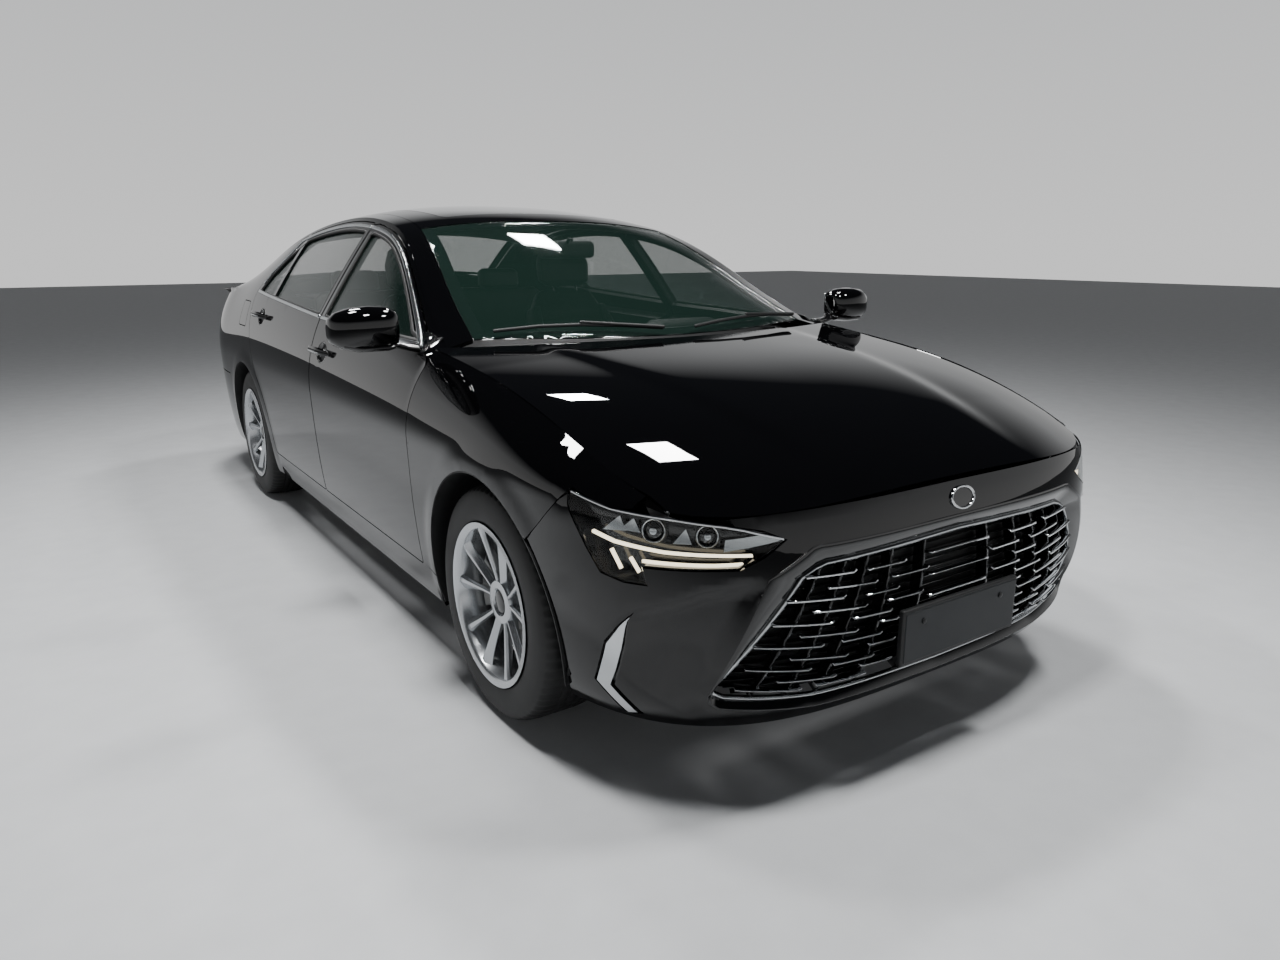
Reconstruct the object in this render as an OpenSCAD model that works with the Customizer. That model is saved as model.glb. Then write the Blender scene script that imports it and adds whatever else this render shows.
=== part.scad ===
/* [Body] */
// Length from nose to tail
body_len = 4805; // [4300:5:5700]
// Width over the sides, without the mirrors
body_w = 1862; // [1600:2:2240]
// Height from the ground to the roof
body_h = 1449; // [1200:1:1740]
// Distance between the two axles
wheelbase = 2830; // [2350:10:3400]
// Nose to front axle
front_overhang = 840; // [760:10:1000]

/* [Panels] */
// Gap at a shut line
gap = 6; // [4:0.5:9]
// Thickness of an outer skin
skin_t = 8; // [5:0.5:14]
// Thickness of a whole door below its window
door_t = 100; // [70:1:130]
// Thickness of a door's window frame
frame_t = 36; // [28:1:46]
// How far a door's inner part stands back from its skin's edge
door_inset = 26; // [20:1:34]
// Thickness of pillars and roof rails
pillar_t = 26; // [20:1:34]
// Thickness of window glass
glass_t = 5; // [3:0.5:8]
// Thickness of the bumper covers
cover_t = 12; // [8:1:16]

/* [Wheels] */
// Outer radius of a tyre
tyre_r = 328.5; // [270:0.5:345]
// Width of a tyre
tyre_w = 225; // [185:1:240]
// Outer radius of a rim's edge
rim_r = 232; // [190:1:245]
// Distance of a wheel's middle from the car's middle
wheel_x = 798; // [700:1:900]
// Clear space between a tyre and its wheel arch
arch_gap = 44; // [40:1:60]
// Steering axis, inboard of the wheel's middle
king_offset = 40; // [20:1:60]
// Number of spokes in a rim
spokes = 10; // [5:1:16]
// Radius of a brake disc
disc_r = 150; // [120:1:165]

/* [Steering wheel] */
// Radius of the steering wheel
steer_r = 185; // [160:1:200]
// Tilt of the steering column from level
steer_tilt = 24; // [15:1:35]

/* [Fixings] */
// Radius of a jacking pad
jack_r = 30; // [20:1:40]
// Width of a number plate
plate_w = 440; // [400:1:520]
// Height of a number plate
plate_h = 140; // [100:1:150]
// Distance between a number plate's two bolt holes
plate_pitch = 230; // [180:1:260]
// Radius of a number plate's bolt hole
plate_hole_r = 3.5; // [2.5:0.1:4.5]

/* [Hidden] */
$fn = 48;
mid_y = 22.5;
nose_y = mid_y - body_len / 2;
tail_y = mid_y + body_len / 2;
front_y = nose_y + front_overhang;
rear_y = front_y + wheelbase;
arch_r = tyre_r + arch_gap;
axle_z = tyre_r;
king_x = wheel_x - king_offset;
paint = [0.03, 0.03, 0.04];
post_t = 66;
strut_r = 26;
plate_y = 2384;
flap_ease = 2.2;
lead_gap = gap + 3;
pipe_z = axle_z - 158.5;

// The shape is drawn for a car of these sizes, then stretched to the ones above
ref_w = 1862;
ref_h = 1449;
ref_nose = -2380;
ref_tail = 2425;
ref_front = -1540;
ref_rear = 1290;
function ly(y) = lookup(y, [[ref_nose - 200, nose_y - 200], [ref_nose, nose_y],
  [ref_front, front_y], [ref_rear, rear_y], [ref_tail, tail_y], [ref_tail + 200, tail_y + 200]]);
function lx(x) = x * body_w / ref_w;
function lz(z) = z * body_h / ref_h;
function place(p) = [lx(p[0]), ly(p[1]), lz(p[2])];

// A smooth curve through points [position, value]
function seg(p, t, i = 0) = (i >= len(p) - 2 || t < p[i + 1][0]) ? i : seg(p, t, i + 1);
function rise(p, i) = let (a = max(i - 1, 0), b = min(i + 1, len(p) - 1))
  (p[b][1] - p[a][1]) / (p[b][0] - p[a][0]);
function curve(p, t) = let (i = seg(p, t), h = p[i + 1][0] - p[i][0], u = (t - p[i][0]) / h)
  u < 0 ? p[i][1] + rise(p, i) * (t - p[i][0]) :
  (2 * u * u * u - 3 * u * u + 1) * p[i][1] + (u * u * u - 2 * u * u + u) * rise(p, i) * h +
  (3 * u * u - 2 * u * u * u) * p[i + 1][1] + (u * u * u - u * u) * rise(p, i + 1) * h;

// Heights along the middle of the car
hood_mid = [[-2345, 724], [-2310, 742], [-2180, 797], [-1960, 866], [-1700, 920],
  [-1400, 958], [-1215, 978]];
canopy_mid = [[-1230, 968], [-1185, 988], [-900, 1128], [-600, 1260], [-290, 1374], [0, 1426],
  [300, 1449], [600, 1441], [900, 1408], [1150, 1356], [1450, 1250], [1800, 1112], [1900, 1075]];
deck_mid = [[1790, 1114], [1980, 1118], [2160, 1112], [2340, 1092], [2430, 1060]];
hood_bow = 190;

// Shoulder, where the side turns into the hood, the windows or the deck
shoulder_half = [[-2130, 892], [-2000, 858], [-1800, 828], [-1540, 818], [-1200, 820],
  [-950, 836], [-600, 850], [0, 862], [600, 862], [1000, 856], [1300, 846], [1700, 828],
  [2000, 835], [2300, 838], [2450, 838]];
belt = [[-1050, 968], [-600, 980], [0, 998], [500, 1018], [900, 1038], [1200, 1050],
  [1500, 1054], [1800, 1047], [2000, 1034], [2150, 1027], [2450, 1025]];

// Rail over the doors, from the hood's rear corner to the deck
rail_half = [[-1040, 782], [-800, 738], [-500, 668], [-250, 616], [0, 592], [300, 582],
  [600, 586], [900, 610], [1150, 648], [1400, 694], [1700, 752], [1860, 776]];
rail_z = [[-1040, 968], [-800, 1074], [-500, 1232], [-250, 1328], [0, 1372], [300, 1390],
  [600, 1380], [900, 1346], [1150, 1290], [1400, 1206], [1700, 1100], [1860, 1062]];

// Side below the shoulder, by height
side_low = [[150, 862], [220, 884], [300, 900], [420, 914], [560, 924], [720, 931]];
wide_z = 720;

// Nose and tail, by height
nose_half = [[150, 835], [200, 868], [260, 890], [340, 905], [450, 918], [560, 926],
  [650, 930], [720, 928], [760, 910]];
nose_tip = [[150, -2268], [200, -2312], [260, -2345], [340, -2366], [450, -2378],
  [560, -2375], [650, -2360], [720, -2338], [760, -2315]];
tail_tip = [[180, 2358], [300, 2402], [420, 2420], [560, 2424], [700, 2412], [850, 2387],
  [950, 2369], [1060, 2352]];
nose_start = -1450;
tail_start = 1700;
nose_power = 3.6;
tail_power = 3.2;

function hood_z(x, y) = curve(hood_mid, y - hood_bow * pow(abs(x) / 800, 2.6));
function plan(y, z) = y < nose_start ?
    pow(max(1 - pow((nose_start - y) / (nose_start - curve(nose_tip, z)), nose_power), 0),
      1 / nose_power) :
  y > tail_start ?
    pow(max(1 - pow((y - tail_start) / (curve(tail_tip, z) - tail_start), tail_power), 0),
      1 / tail_power) : 1;
function edge_x(y) = curve(shoulder_half, y) * plan(y, y < 0 ? 750 : 1000);
function edge_z(y) = y < -1050 ? hood_z(edge_x(y), y) : curve(belt, y);
function flank(y, z) = z <= wide_z ? curve(side_low, z) :
  931 - (931 - curve(shoulder_half, y)) *
    pow(min((z - wide_z) / (edge_z(y) - wide_z), 1), 2.1);
function side_x(y, z) = flank(y, z) * plan(y, z);
function canopy_z(x, y) = let (top = curve(canopy_mid, y))
  top - (top - curve(rail_z, y)) * pow(abs(x) / curve(rail_half, y), 2.4);
function deck_z(x, y) = let (top = curve(deck_mid, y))
  top - (top - edge_z(y)) * pow(abs(x) / max(edge_x(y), 300), 3);

// Point on the nose, by angle from the middle, height and depth below the skin
function nose(a, z, d) = let (w = curve(nose_half, z) - d, tip = curve(nose_tip, z) + d)
  [w * pow(abs(sin(a)), 2 / nose_power) * sign(a),
   nose_start - (nose_start - tip) * pow(cos(a), 2 / nose_power), z];
function tail(a, z, d) = let (w = flank(2200, z) - d, tip = curve(tail_tip, z) - d)
  [w * pow(abs(sin(a)), 2 / tail_power) * sign(a),
   tail_start + (tip - tail_start) * pow(cos(a), 2 / tail_power), z];

// Point on the side: v below 1 is under the shoulder, 1 to 2 is window height
function flank_pt(y, v, low, d) = v <= 1 ?
    let (z = low + (edge_z(y) - low) * v) [side_x(y, z) - d, y, z] :
    let (k = v - 1) [curve(shoulder_half, y) * (1 - k) + curve(rail_half, y) * k +
      28 * k * (1 - k) - d, y, edge_z(y) * (1 - k) + curve(rail_z, y) * k];

function steps(a, b, n) = [for (i = [0:n]) a + (b - a) * i / n];
function flat(rows) = [for (r = rows) for (p = r) p];

// Closed sheet between two grids of points, outer over inner
module sheet(outer, inner) {
  n = len(outer);
  m = len(outer[0]);
  s = n * m;
  function id(i, j) = i * m + j;
  faces = concat(
    [for (i = [0:n - 2]) for (j = [0:m - 2]) each
      [[id(i, j), id(i, j + 1), id(i + 1, j + 1)], [id(i, j), id(i + 1, j + 1), id(i + 1, j)]]],
    [for (i = [0:n - 2]) for (j = [0:m - 2]) each
      [[s + id(i, j), s + id(i + 1, j + 1), s + id(i, j + 1)],
       [s + id(i, j), s + id(i + 1, j), s + id(i + 1, j + 1)]]],
    [for (i = [0:n - 2]) each [[id(i, 0), id(i + 1, 0), s + id(i + 1, 0)],
      [id(i, 0), s + id(i + 1, 0), s + id(i, 0)]]],
    [for (i = [0:n - 2]) each [[id(i + 1, m - 1), id(i, m - 1), s + id(i, m - 1)],
      [id(i + 1, m - 1), s + id(i, m - 1), s + id(i + 1, m - 1)]]],
    [for (j = [0:m - 2]) each [[id(0, j + 1), id(0, j), s + id(0, j)],
      [id(0, j + 1), s + id(0, j), s + id(0, j + 1)]]],
    [for (j = [0:m - 2]) each [[id(n - 1, j), id(n - 1, j + 1), s + id(n - 1, j + 1)],
      [id(n - 1, j), s + id(n - 1, j + 1), s + id(n - 1, j)]]]);
  polyhedron(points = [for (p = concat(flat(outer), flat(inner))) place(p)], faces = faces,
    convexity = 8);
}

// Side of the car between two stations, d1 to d2 below the skin, on the right hand
module flank_sheet(y0, y1, n, vs, low, d1, d2) {
  ys = steps(y0, y1, n);
  mirror([1, 0, 0])
    sheet([for (y = ys) [for (v = vs) flank_pt(y, v, low, d1)]],
      [for (y = ys) [for (v = vs) flank_pt(y, v, low, d2)]]);
}

// Whole side, drawn straight down through the car from a side view outline
module side_cut(outline, r = 0) {
  rotate([90, 0, 90])
    translate([0, 0, -1400])
      linear_extrude(2800)
        offset(delta = r)
          polygon([for (p = outline) [ly(p[0]), lz(p[1])]]);
}
module top_cut(outline, r = 0) {
  linear_extrude(2000)
    offset(delta = r)
      polygon([for (p = outline) [lx(p[0]), ly(p[1])]]);
}
module front_cut(outline, r = 0) {
  rotate([90, 0, 0])
    translate([0, 0, -3000])
      linear_extrude(6000)
        offset(delta = r)
          polygon([for (p = outline) [lx(p[0]), lz(p[1])]]);
}
module arch_cut(y, r) {
  for (s = [-1, 1])
    translate([s * lx(700), y, axle_z])
      rotate([0, 90, 0])
        cylinder(r = r, h = 900, center = true, $fn = 72);
}
module to_mesh() {
  resize([0, 0, 0])
    union()
      children();
}
module on_left() {
  mirror([1, 0, 0])
    children();
}

// Side view outlines of the doors and their windows
function rail_line(y, drop) = [y, curve(rail_z, y) - drop];
front_door = concat([[-1046, 300], [30, 300], [30, 700], [36, 990]],
  [[78, curve(rail_z, 78) - 20]],
  [for (y = [-60, -280, -500, -720, -880, -1000]) rail_line(y, 20)],
  [[-1062, 930], [-1054, 820], [-1046, 700], [-1042, 500]]);
rear_door = concat([[36, 300], [860, 300], [868, 420], [905, 540], [960, 640], [1030, 730],
  [1100, 830], [1160, 950], [1196, 1050], [1172, 1130], [1110, 1210]],
  [for (y = [960, 760, 540, 300]) rail_line(y, 22)],
  [[84, curve(rail_z, 84) - 20], [42, 990], [36, 700]]);
front_window = concat([[-2, 1012], [26, 1180], [44, curve(rail_z, 44) - 56]],
  [for (y = [-140, -340, -540, -720, -820]) rail_line(y, 58)],
  [[-900, 985]]);
rear_window_cut = concat([[78, 1018], [106, 1180], [122, curve(rail_z, 122) - 56]],
  [for (y = [300, 500, 680, 850]) rail_line(y, 58)],
  [[985, 1236], [1080, 1150], [1118, 1068]]);
flap_outline = [[1232, 876], [1388, 876], [1400, 888], [1400, 996], [1388, 1008],
  [1244, 1008], [1232, 996]];

// Front view outlines
lamp_outline = [[552, 662], [600, 682], [700, 700], [800, 716], [870, 738], [940, 748],
  [940, 566], [812, 566], [806, 600], [660, 606], [602, 630]];
grille_outline = [[0, 642], [480, 640], [596, 577], [700, 300], [672, 262], [430, 226],
  [0, 212], [-430, 226], [-672, 262], [-700, 300], [-596, 577], [-480, 640]];

module door(outline, window, y0, y1, n) {
  vs = [0, 0.3, 0.5, 0.7, 0.86, 1, 1.3, 1.65, 2];
  to_mesh() {
    difference() {
      intersection() {
        flank_sheet(y0, y1, n, vs, 290, 0, skin_t);
        side_cut(outline, -gap / 2 + 0.5);
      }
      side_cut(window);
    }
    difference() {
      intersection() {
        flank_sheet(y0 + 10, y1 - 10, n, [0, 0.5, 0.93], 290, skin_t - 2, door_t);
        side_cut(outline, -door_inset);
        side_cut([[-1200, 200], [1300, 200], [1300, 1010], [500, 985], [-1200, 950]]);
      }
      side_cut(window);
    }
    difference() {
      intersection() {
        flank_sheet(y0, y1, n, [0.7, 0.86, 1, 1.3, 1.65, 2], 290, skin_t - 2, frame_t);
        side_cut(outline, -15);
      }
      side_cut(window);
    }
  }
}
module door_glass(window, y0, y1, n) {
  to_mesh()
    intersection() {
      flank_sheet(y0, y1, n, [0.9, 1, 1.2, 1.45, 1.7, 2], 290, 14, 14 + glass_t);
      side_cut(window, -0.4);
    }
}
module door_front() {
  door(front_door, front_window, -1075, 90, 8);
}
module door_rear() {
  door(rear_door, rear_window_cut, 30, 1205, 8);
}

// Right hand side of the body: rocker, pillars, rail, quarter panel
rail_steps = [0.885, 0.94, 1];
rail_ys = steps(-1035, 1850, 18);
function rail_pt(f, y, d) = let (x = f * curve(rail_half, y))
  [x - (f > 0.99 ? d : 0), y, canopy_z(x, y) - d];
function deck_pt(k, y, d) = let (x = 606 + (max(edge_x(y), 640) - 606) * k)
  [x, y, deck_z(x, y) - d];
module tail_sheet(a0, a1, n, zs, d1, d2) {
  as = steps(a1, a0, n);
  sheet([for (a = as) [for (z = zs) tail(a, z, d1)]], [for (a = as) [for (z = zs) tail(a, z, d2)]]);
}
tail_angles = [90, 89.9, 88, 84, 77, 69, 60, 50, 40, 30, 20, 10];
module wrap_sheet(zs, d1, d2) {
  as = concat(tail_angles, [0], [for (i = [len(tail_angles) - 1:-1:0]) -tail_angles[i]]);
  sheet([for (a = as) [for (z = zs) tail(a, z, d1)]], [for (a = as) [for (z = zs) tail(a, z, d2)]]);
}
module body_side(with_flap) {
  to_mesh() {
    // window height panels: rail over the doors and rear pillar
    difference() {
      flank_sheet(-1035, 1850, 18, [1.02, 1.35, 1.7, 2], 290, 0, pillar_t);
      side_cut(front_door, gap / 2 - 0.5);
      side_cut(rear_door, gap / 2);
      side_cut([[-1300, 800], [-1035, 800], [-1030, 975], [-1300, 975]]);
    }
    // strip beside the windshield, roof and rear window
    mirror([1, 0, 0])
      sheet([for (f = rail_steps) [for (y = rail_ys) rail_pt(f, y, 0)]],
        [for (f = rail_steps) [for (y = rail_ys) rail_pt(f, y, pillar_t)]]);
    // rocker
    difference() {
      flank_sheet(-1260, 960, 4, [0, 0.08, 0.2], 190, 0, 110);
      side_cut([[-1400, 294], [1400, 294], [1400, 1400], [-1400, 1400]]);
      arch_cut(front_y, arch_r);
      arch_cut(rear_y, arch_r);
    }
    // quarter panel
    difference() {
      flank_sheet(850, 2120, 14, [0, 0.25, 0.45, 0.62, 0.75, 0.84, 0.92, 1], 190, 0, skin_t + 2);
      side_cut(rear_door, gap / 2);
      arch_cut(rear_y, arch_r);
      side_cut([[1698, 100], [2300, 100], [2300, 600], [1698, 600]]);
      if (with_flap)
        side_cut(flap_outline, gap / 2 + flap_ease);
    }
    // tail corner
    difference() {
      mirror([1, 0, 0])
        tail_sheet(24, 74, 9, [600, 700, 800, 890, 960, 1012], 0, skin_t + 2);
      front_cut([[-606, 0], [606, 0], [606, 1400], [-606, 1400]]);
      front_cut([[-602, 765], [-940, 765], [-940, 885], [-602, 885]]);
    }
    // deck beside the boot lid
    mirror([1, 0, 0])
      sheet([for (k = steps(0, 1, 4)) [for (y = steps(1780, 2310, 8)) deck_pt(k, y, 0)]],
        [for (k = steps(0, 1, 4)) [for (y = steps(1780, 2310, 8)) deck_pt(k, y, 14)]]);
    // pillar between the doors
    intersection() {
      flank_sheet(-60, 140, 2, [0, 0.3, 0.6, 0.9], 250, skin_t + 8, door_t + post_t);
      side_cut([[26, 250], [46, 250], [46, 960], [26, 960]]);
    }
    intersection() {
      flank_sheet(-60, 140, 2, [0, 0.3, 0.6, 0.9, 1], 250, door_t + 26, door_t + post_t);
      side_cut([[-50, 250], [116, 250], [116, 1010], [-50, 1010]]);
    }
    intersection() {
      flank_sheet(-60, 140, 2, [0.8, 1, 1.3, 1.65, 2], 250, frame_t + 8, frame_t + 34);
      side_cut([[-44, 983], [114, 983], [149, 1400], [-9, 1400]]);
    }
    intersection() {
      flank_sheet(-60, 140, 2, [0.8, 1, 1.3, 1.65, 2], 250, frame_t + 8, door_t + post_t);
      side_cut([[-40, 988], [110, 988], [110, 1006], [-40, 1006]]);
    }
    // hinge post in front of the doors
    translate([lx(-812), ly(-1140), lz(250)])
      cube([lx(110), ly(-1040) - ly(-1140), lz(885) - lz(250)]);
    // pocket behind the fuel flap
    if (with_flap)
      difference() {
        intersection() {
          flank_sheet(1205, 1430, 4, [0.7, 0.8, 0.9, 1], 290, skin_t, skin_t + 60);
          side_cut(flap_outline, 12);
        }
        intersection() {
          flank_sheet(1205, 1430, 4, [0.7, 0.8, 0.9, 1], 290, skin_t - 8, skin_t + 54);
          side_cut(flap_outline, gap / 2 - 0.5);
        }
      }
  }
}

module floor_pan() {
  color([0.12, 0.12, 0.13])
  to_mesh() {
    // cabin floor with a tunnel
    difference() {
      union() {
        translate([-lx(760), ly(-1080), lz(195)])
          cube([lx(1520), ly(920) - ly(-1080), 22]);
        translate([-lx(120), ly(-1080), lz(195)])
          cube([lx(240), ly(920) - ly(-1080), 120]);
      }
      translate([-lx(105), ly(-1100), lz(195) - 20])
        cube([lx(210), ly(1000) - ly(-1100), 125]);
    }
    // bulkhead in front of the cabin
    difference() {
      translate([-lx(690), ly(-1080) - 20, lz(195)])
        cube([lx(1380), 30, lz(880) - lz(195)]);
      translate([-lx(105), ly(-1200), lz(195) - 20])
        cube([lx(210), 300, 125]);
    }
    // seat pan and boot floor
    difference() {
      translate([-lx(480), ly(900), lz(195)])
        cube([lx(960), 24, lz(390) - lz(195)]);
      translate([-lx(105), ly(800), lz(195) - 20])
        cube([lx(210), 300, 125]);
    }
    translate([-lx(480), ly(900), lz(380)])
      cube([lx(960), ly(2300) - ly(900), 16]);
    // wall behind the rear seat and shelf
    translate([-lx(560), ly(1110), lz(390)])
      cube([lx(1120), 16, lz(1010) - lz(390)]);
    translate([-lx(560), ly(1110), lz(1000)])
      cube([lx(1120), ly(1640) - ly(1110), 12]);
    // rear wall
    translate([-lx(560), ly(2280), lz(380)])
      cube([lx(1120), 16, lz(660) - lz(380)]);
    // front rails
    for (s = [-1, 1])
      translate([s * lx(430) - 30, ly(-2200), lz(420)])
        cube([60, ly(-1080) - ly(-2200), 110]);
    translate([-lx(460), ly(-2200), lz(420)])
      cube([lx(920), 40, 110]);
    // jacking pads
    for (s = [-1, 1])
      for (y = [-950, 780])
        translate([s * lx(700), ly(y), lz(195) - 12])
          cylinder(r = jack_r, h = 20);
  }
}
module body_side_left() {
  color(paint)
    on_left()
      body_side(false);
}
module body_side_right() {
  color(paint)
    body_side(true);
}

// Band of the canopy between two lines across the car
module canopy_sheet(f, n, m, ya, yb, d1, d2) {
  fs = steps(-f, f, n);
  ts = steps(0, 1, m);
  function at(k, t, d) = let (y = curve(ya, abs(k)) * (1 - t) + curve(yb, abs(k)) * t,
    x = k * curve(rail_half, y)) [x, y, canopy_z(x, y) - d];
  sheet([for (k = fs) [for (t = ts) at(k, t, d1)]], [for (k = fs) [for (t = ts) at(k, t, d2)]]);
}
screen_foot = [[0, -1185], [0.5, -1140], [0.9, -1025], [1, -995]];
screen_head = [[0, -300], [0.5, -290], [1, -262]];
roof_back = [[0, 1150], [0.5, 1142], [1, 1116]];
glass_back = [[0, 1792], [0.5, 1784], [1, 1760]];
function shift(p, d) = [for (q = p) [q[0], q[1] + d]];
sunroof = [[-400, -140], [400, -140], [410, -120], [410, 340], [400, 360], [-400, 360],
  [-410, 340], [-410, -120]];
module roof_panel() {
  color(paint)
  to_mesh()
    difference() {
      canopy_sheet(0.878, 12, 9, shift(screen_head, 4), shift(roof_back, -4), 0, 22);
      top_cut(sunroof, 2);
    }
}
module sunroof_glass() {
  color([0.05, 0.05, 0.06])
  to_mesh()
    intersection() {
      canopy_sheet(0.8, 10, 9, shift(screen_head, 4), shift(roof_back, -4), 1, 9);
      top_cut(sunroof, -1);
    }
}
module windshield() {
  color([0.2, 0.3, 0.28, 0.4])
    canopy_sheet(0.875, 12, 8, screen_foot, screen_head, 2, 2 + glass_t);
}
module rear_window() {
  color([0.1, 0.12, 0.12, 0.6])
    canopy_sheet(0.875, 12, 6, roof_back, glass_back, 2, 2 + glass_t);
}
module cowl_panel() {
  color([0.04, 0.04, 0.04])
    canopy_sheet(0.88, 16, 2, shift(screen_foot, -40), shift(screen_foot, 20), 46, 54);
}
module front_fenders() {
  color(paint)
    for (s = [0, 1])
      mirror([s, 0, 0])
        to_mesh()
          difference() {
            flank_sheet(-2118, -1040, 13, [0, 0.3, 0.5, 0.68, 0.8, 0.9, 1], 190, 0, skin_t);
            arch_cut(front_y, arch_r);
            side_cut(front_door, gap / 2);
            side_cut([[-1300, 100], [-900, 100], [-900, 299], [-1300, 299]]);
            side_cut([[-2200, 100], [-1700, 100], [-1700, 500], [-1801, 590], [-1955, 740],
              [-1958, 752], [-2200, 740]]);
          }
}
module nose_sheet(a0, a1, n, zs, d1, d2) {
  as = steps(a0, a1, n);
  sheet([for (a = as) [for (z = zs) nose(a, z, d1)]], [for (a = as) [for (z = zs) nose(a, z, d2)]]);
}
module lamp_cut(r) {
  for (s = [0, 1])
    mirror([s, 0, 0])
      front_cut(lamp_outline, r);
}
module front_bumper() {
  color(paint)
  to_mesh()
    difference() {
      nose_sheet(-80, 80, 28, [190, 220, 270, 340, 430, 530, 620, 690, 723], 0, cover_t);
      lamp_cut(1);
      front_cut(grille_outline);
      arch_cut(front_y, arch_r);
      side_cut([[-1500, 100], [-1500, 900], [-1962, 900], [-1962, 744], [-1806, 584], [-1700, 480]]);
      side_cut([[-1700, 100], [-1400, 100], [-1400, 900], [-1700, 900]]);
    }
}
module grille() {
  color([0.02, 0.02, 0.02])
  to_mesh() {
    intersection() {
      nose_sheet(-52, 52, 16, [240, 340, 450, 560, 660], cover_t + 14, cover_t + 30);
      front_cut(grille_outline, 12);
    }
    intersection() {
      nose_sheet(-52, 52, 16, [240, 340, 450, 560, 660], 2, cover_t + 16);
      difference() {
        front_cut(grille_outline, -1);
        front_cut(grille_outline, -14);
      }
    }
  }
}
module headlights() {
  color([0.8, 0.82, 0.85])
    for (s = [0, 1])
      mirror([s, 0, 0])
        to_mesh()
          difference() {
            intersection() {
              mirror([1, 0, 0])
                nose_sheet(24, 78, 12, [560, 620, 670, 715, 750], 1, 26);
              mirror([1, 0, 0])
                front_cut(lamp_outline, -1);
            }
            side_cut([[-1500, 100], [-1500, 900], [-1964, 900], [-1964, 100]]);
          }
}
module rear_bumper() {
  color(paint)
  to_mesh()
    difference() {
      wrap_sheet([200, 250, 340, 460, 594], 0, cover_t);
      arch_cut(rear_y, arch_r);
      side_cut([[1400, 100], [1652, 100], [1652, 700], [1400, 700]]);
    }
}
module tail_lights() {
  color([0.5, 0.02, 0.03])
    for (s = [0, 1])
      mirror([s, 0, 0])
        to_mesh()
          intersection() {
            tail_sheet(24, 70, 12, [760, 800, 840, 890], 1, 24);
            front_cut([[608, 768], [940, 768], [940, 882], [608, 882]]);
            side_cut([[2124, 700], [2600, 700], [2600, 900], [2124, 900]]);
          }
}
module wipers() {
  color([0.03, 0.03, 0.03])
  to_mesh()
    for (w = [[-632, -1044, -80, -1170], [60, -1172, 612, -1056]]) {
      // a blade that follows the glass, then its arm
      route = [for (t = steps(0, 1, 4)) let (x = w[0] + (w[2] - w[0]) * t,
        y = w[1] + (w[3] - w[1]) * t) [lx(x), ly(y) - 22, lz(canopy_z(x, y)) + 16]];
      for (i = [0:3])
        rod(route[i], route[i + 1], 6);
      rod(route[2] + [0, 0, 8], route[4] + [0, -8, 4], 6);
    }
}
module rod(a, b, r) {
  hull()
    for (p = [a, b])
      translate(p)
        sphere(r = r, $fn = 8);
}
module plate_holes() {
  for (s = [-1, 1])
    translate([s * plate_pitch / 2, -30, 0])
      rotate([-90, 0, 0])
        cylinder(r = plate_hole_r, h = 80);
}
module front_plate() {
  color([0.2, 0.21, 0.22])
    translate([0, nose_y - 6, lz(366)])
      difference() {
        union() {
          translate([-plate_w / 2, 0, -plate_h / 2])
            cube([plate_w, 10, plate_h]);
          translate([-plate_w / 3, 10, -plate_h / 3])
            cube([plate_w * 2 / 3, 23, plate_h * 2 / 3]);
        }
        plate_holes();
      }
}
module wheel_liners() {
  color([0.05, 0.05, 0.05])
    for (s = [-1, 1])
      for (w = [[front_y, 540, king_x - 158], [rear_y, 560, wheel_x - 180]])
        difference() {
          translate([s * lx(w[1]), w[0], axle_z])
            rotate([0, s * 90, 0])
              intersection() {
                difference() {
                  cylinder(r = arch_r + 18, h = lx(860 - w[1]));
                  translate([0, 0, -1])
                    cylinder(r = arch_r + 13, h = 400);
                }
                translate([-s * 560 - 400, -500, -1])
                  cube([800, 1000, 400]);
              }
          translate([s * w[2], w[0], axle_z])
            cylinder(r = strut_r + 5, h = 600);
        }
}
module subframes() {
  color([0.1, 0.1, 0.11])
    for (s = [0, 1])
      mirror([s, 0, 0]) {
        // front arm and strut
        translate([250, front_y - 30, axle_z - 142])
          cube([king_x - 16 - 250, 60, 22]);
        translate([king_x - 158, front_y, axle_z + 60])
          cylinder(r = strut_r, h = lz(840) - axle_z - 60);
        translate([190, front_y - 12, axle_z - 12])
          cube([king_x - 76 - 190, 24, 24]);
        // rear arm, hub carrier and strut
        translate([250, rear_y - 30, axle_z - 120])
          cube([wheel_x - 70 - 250, 60, 26]);
        translate([wheel_x - 70, rear_y - 55, axle_z - 120])
          cube([40, 110, 210]);
        translate([wheel_x - 30, rear_y, axle_z])
          rotate([0, 90, 0])
            cylinder(r = 24, h = 28);
        translate([wheel_x - 180, rear_y, axle_z - 94])
          cylinder(r = strut_r, h = lz(800) - axle_z + 94);
      }
  color([0.1, 0.1, 0.11])
    translate([-250, front_y - 150, axle_z - 150])
      cube([500, 360, 40]);
  color([0.1, 0.1, 0.11])
    translate([-250, rear_y - 200, axle_z - 112])
      cube([500, 400, 40]);
  color([0.1, 0.1, 0.11])
    translate([-190, front_y - 60, axle_z - 40])
      cube([380, 120, 90]);
}
module engine_block() {
  color([0.25, 0.25, 0.26])
    translate([-lx(330), ly(-2110), lz(430)])
      cube([lx(660), ly(-1640) - ly(-2110), lz(755) - lz(430)]);
}
module exhaust() {
  color([0.45, 0.45, 0.46]) {
    translate([0, ly(-1000), pipe_z])
      rotate([-90, 0, 0])
        cylinder(r = 28, h = ly(1560) - ly(-1000));
    translate([-lx(330), ly(1560), pipe_z - 45])
      cube([lx(660), ly(1960) - ly(1560), 125]);
    for (s = [-1, 1])
      translate([s * lx(300), ly(1960), pipe_z - 10])
        rotate([-90, 0, 0])
          difference() {
            cylinder(r = 34, h = ly(2372) - ly(1960));
            translate([0, 0, 60])
              cylinder(r = 30, h = ly(2372) - ly(1960));
          }
  }
}
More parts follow.
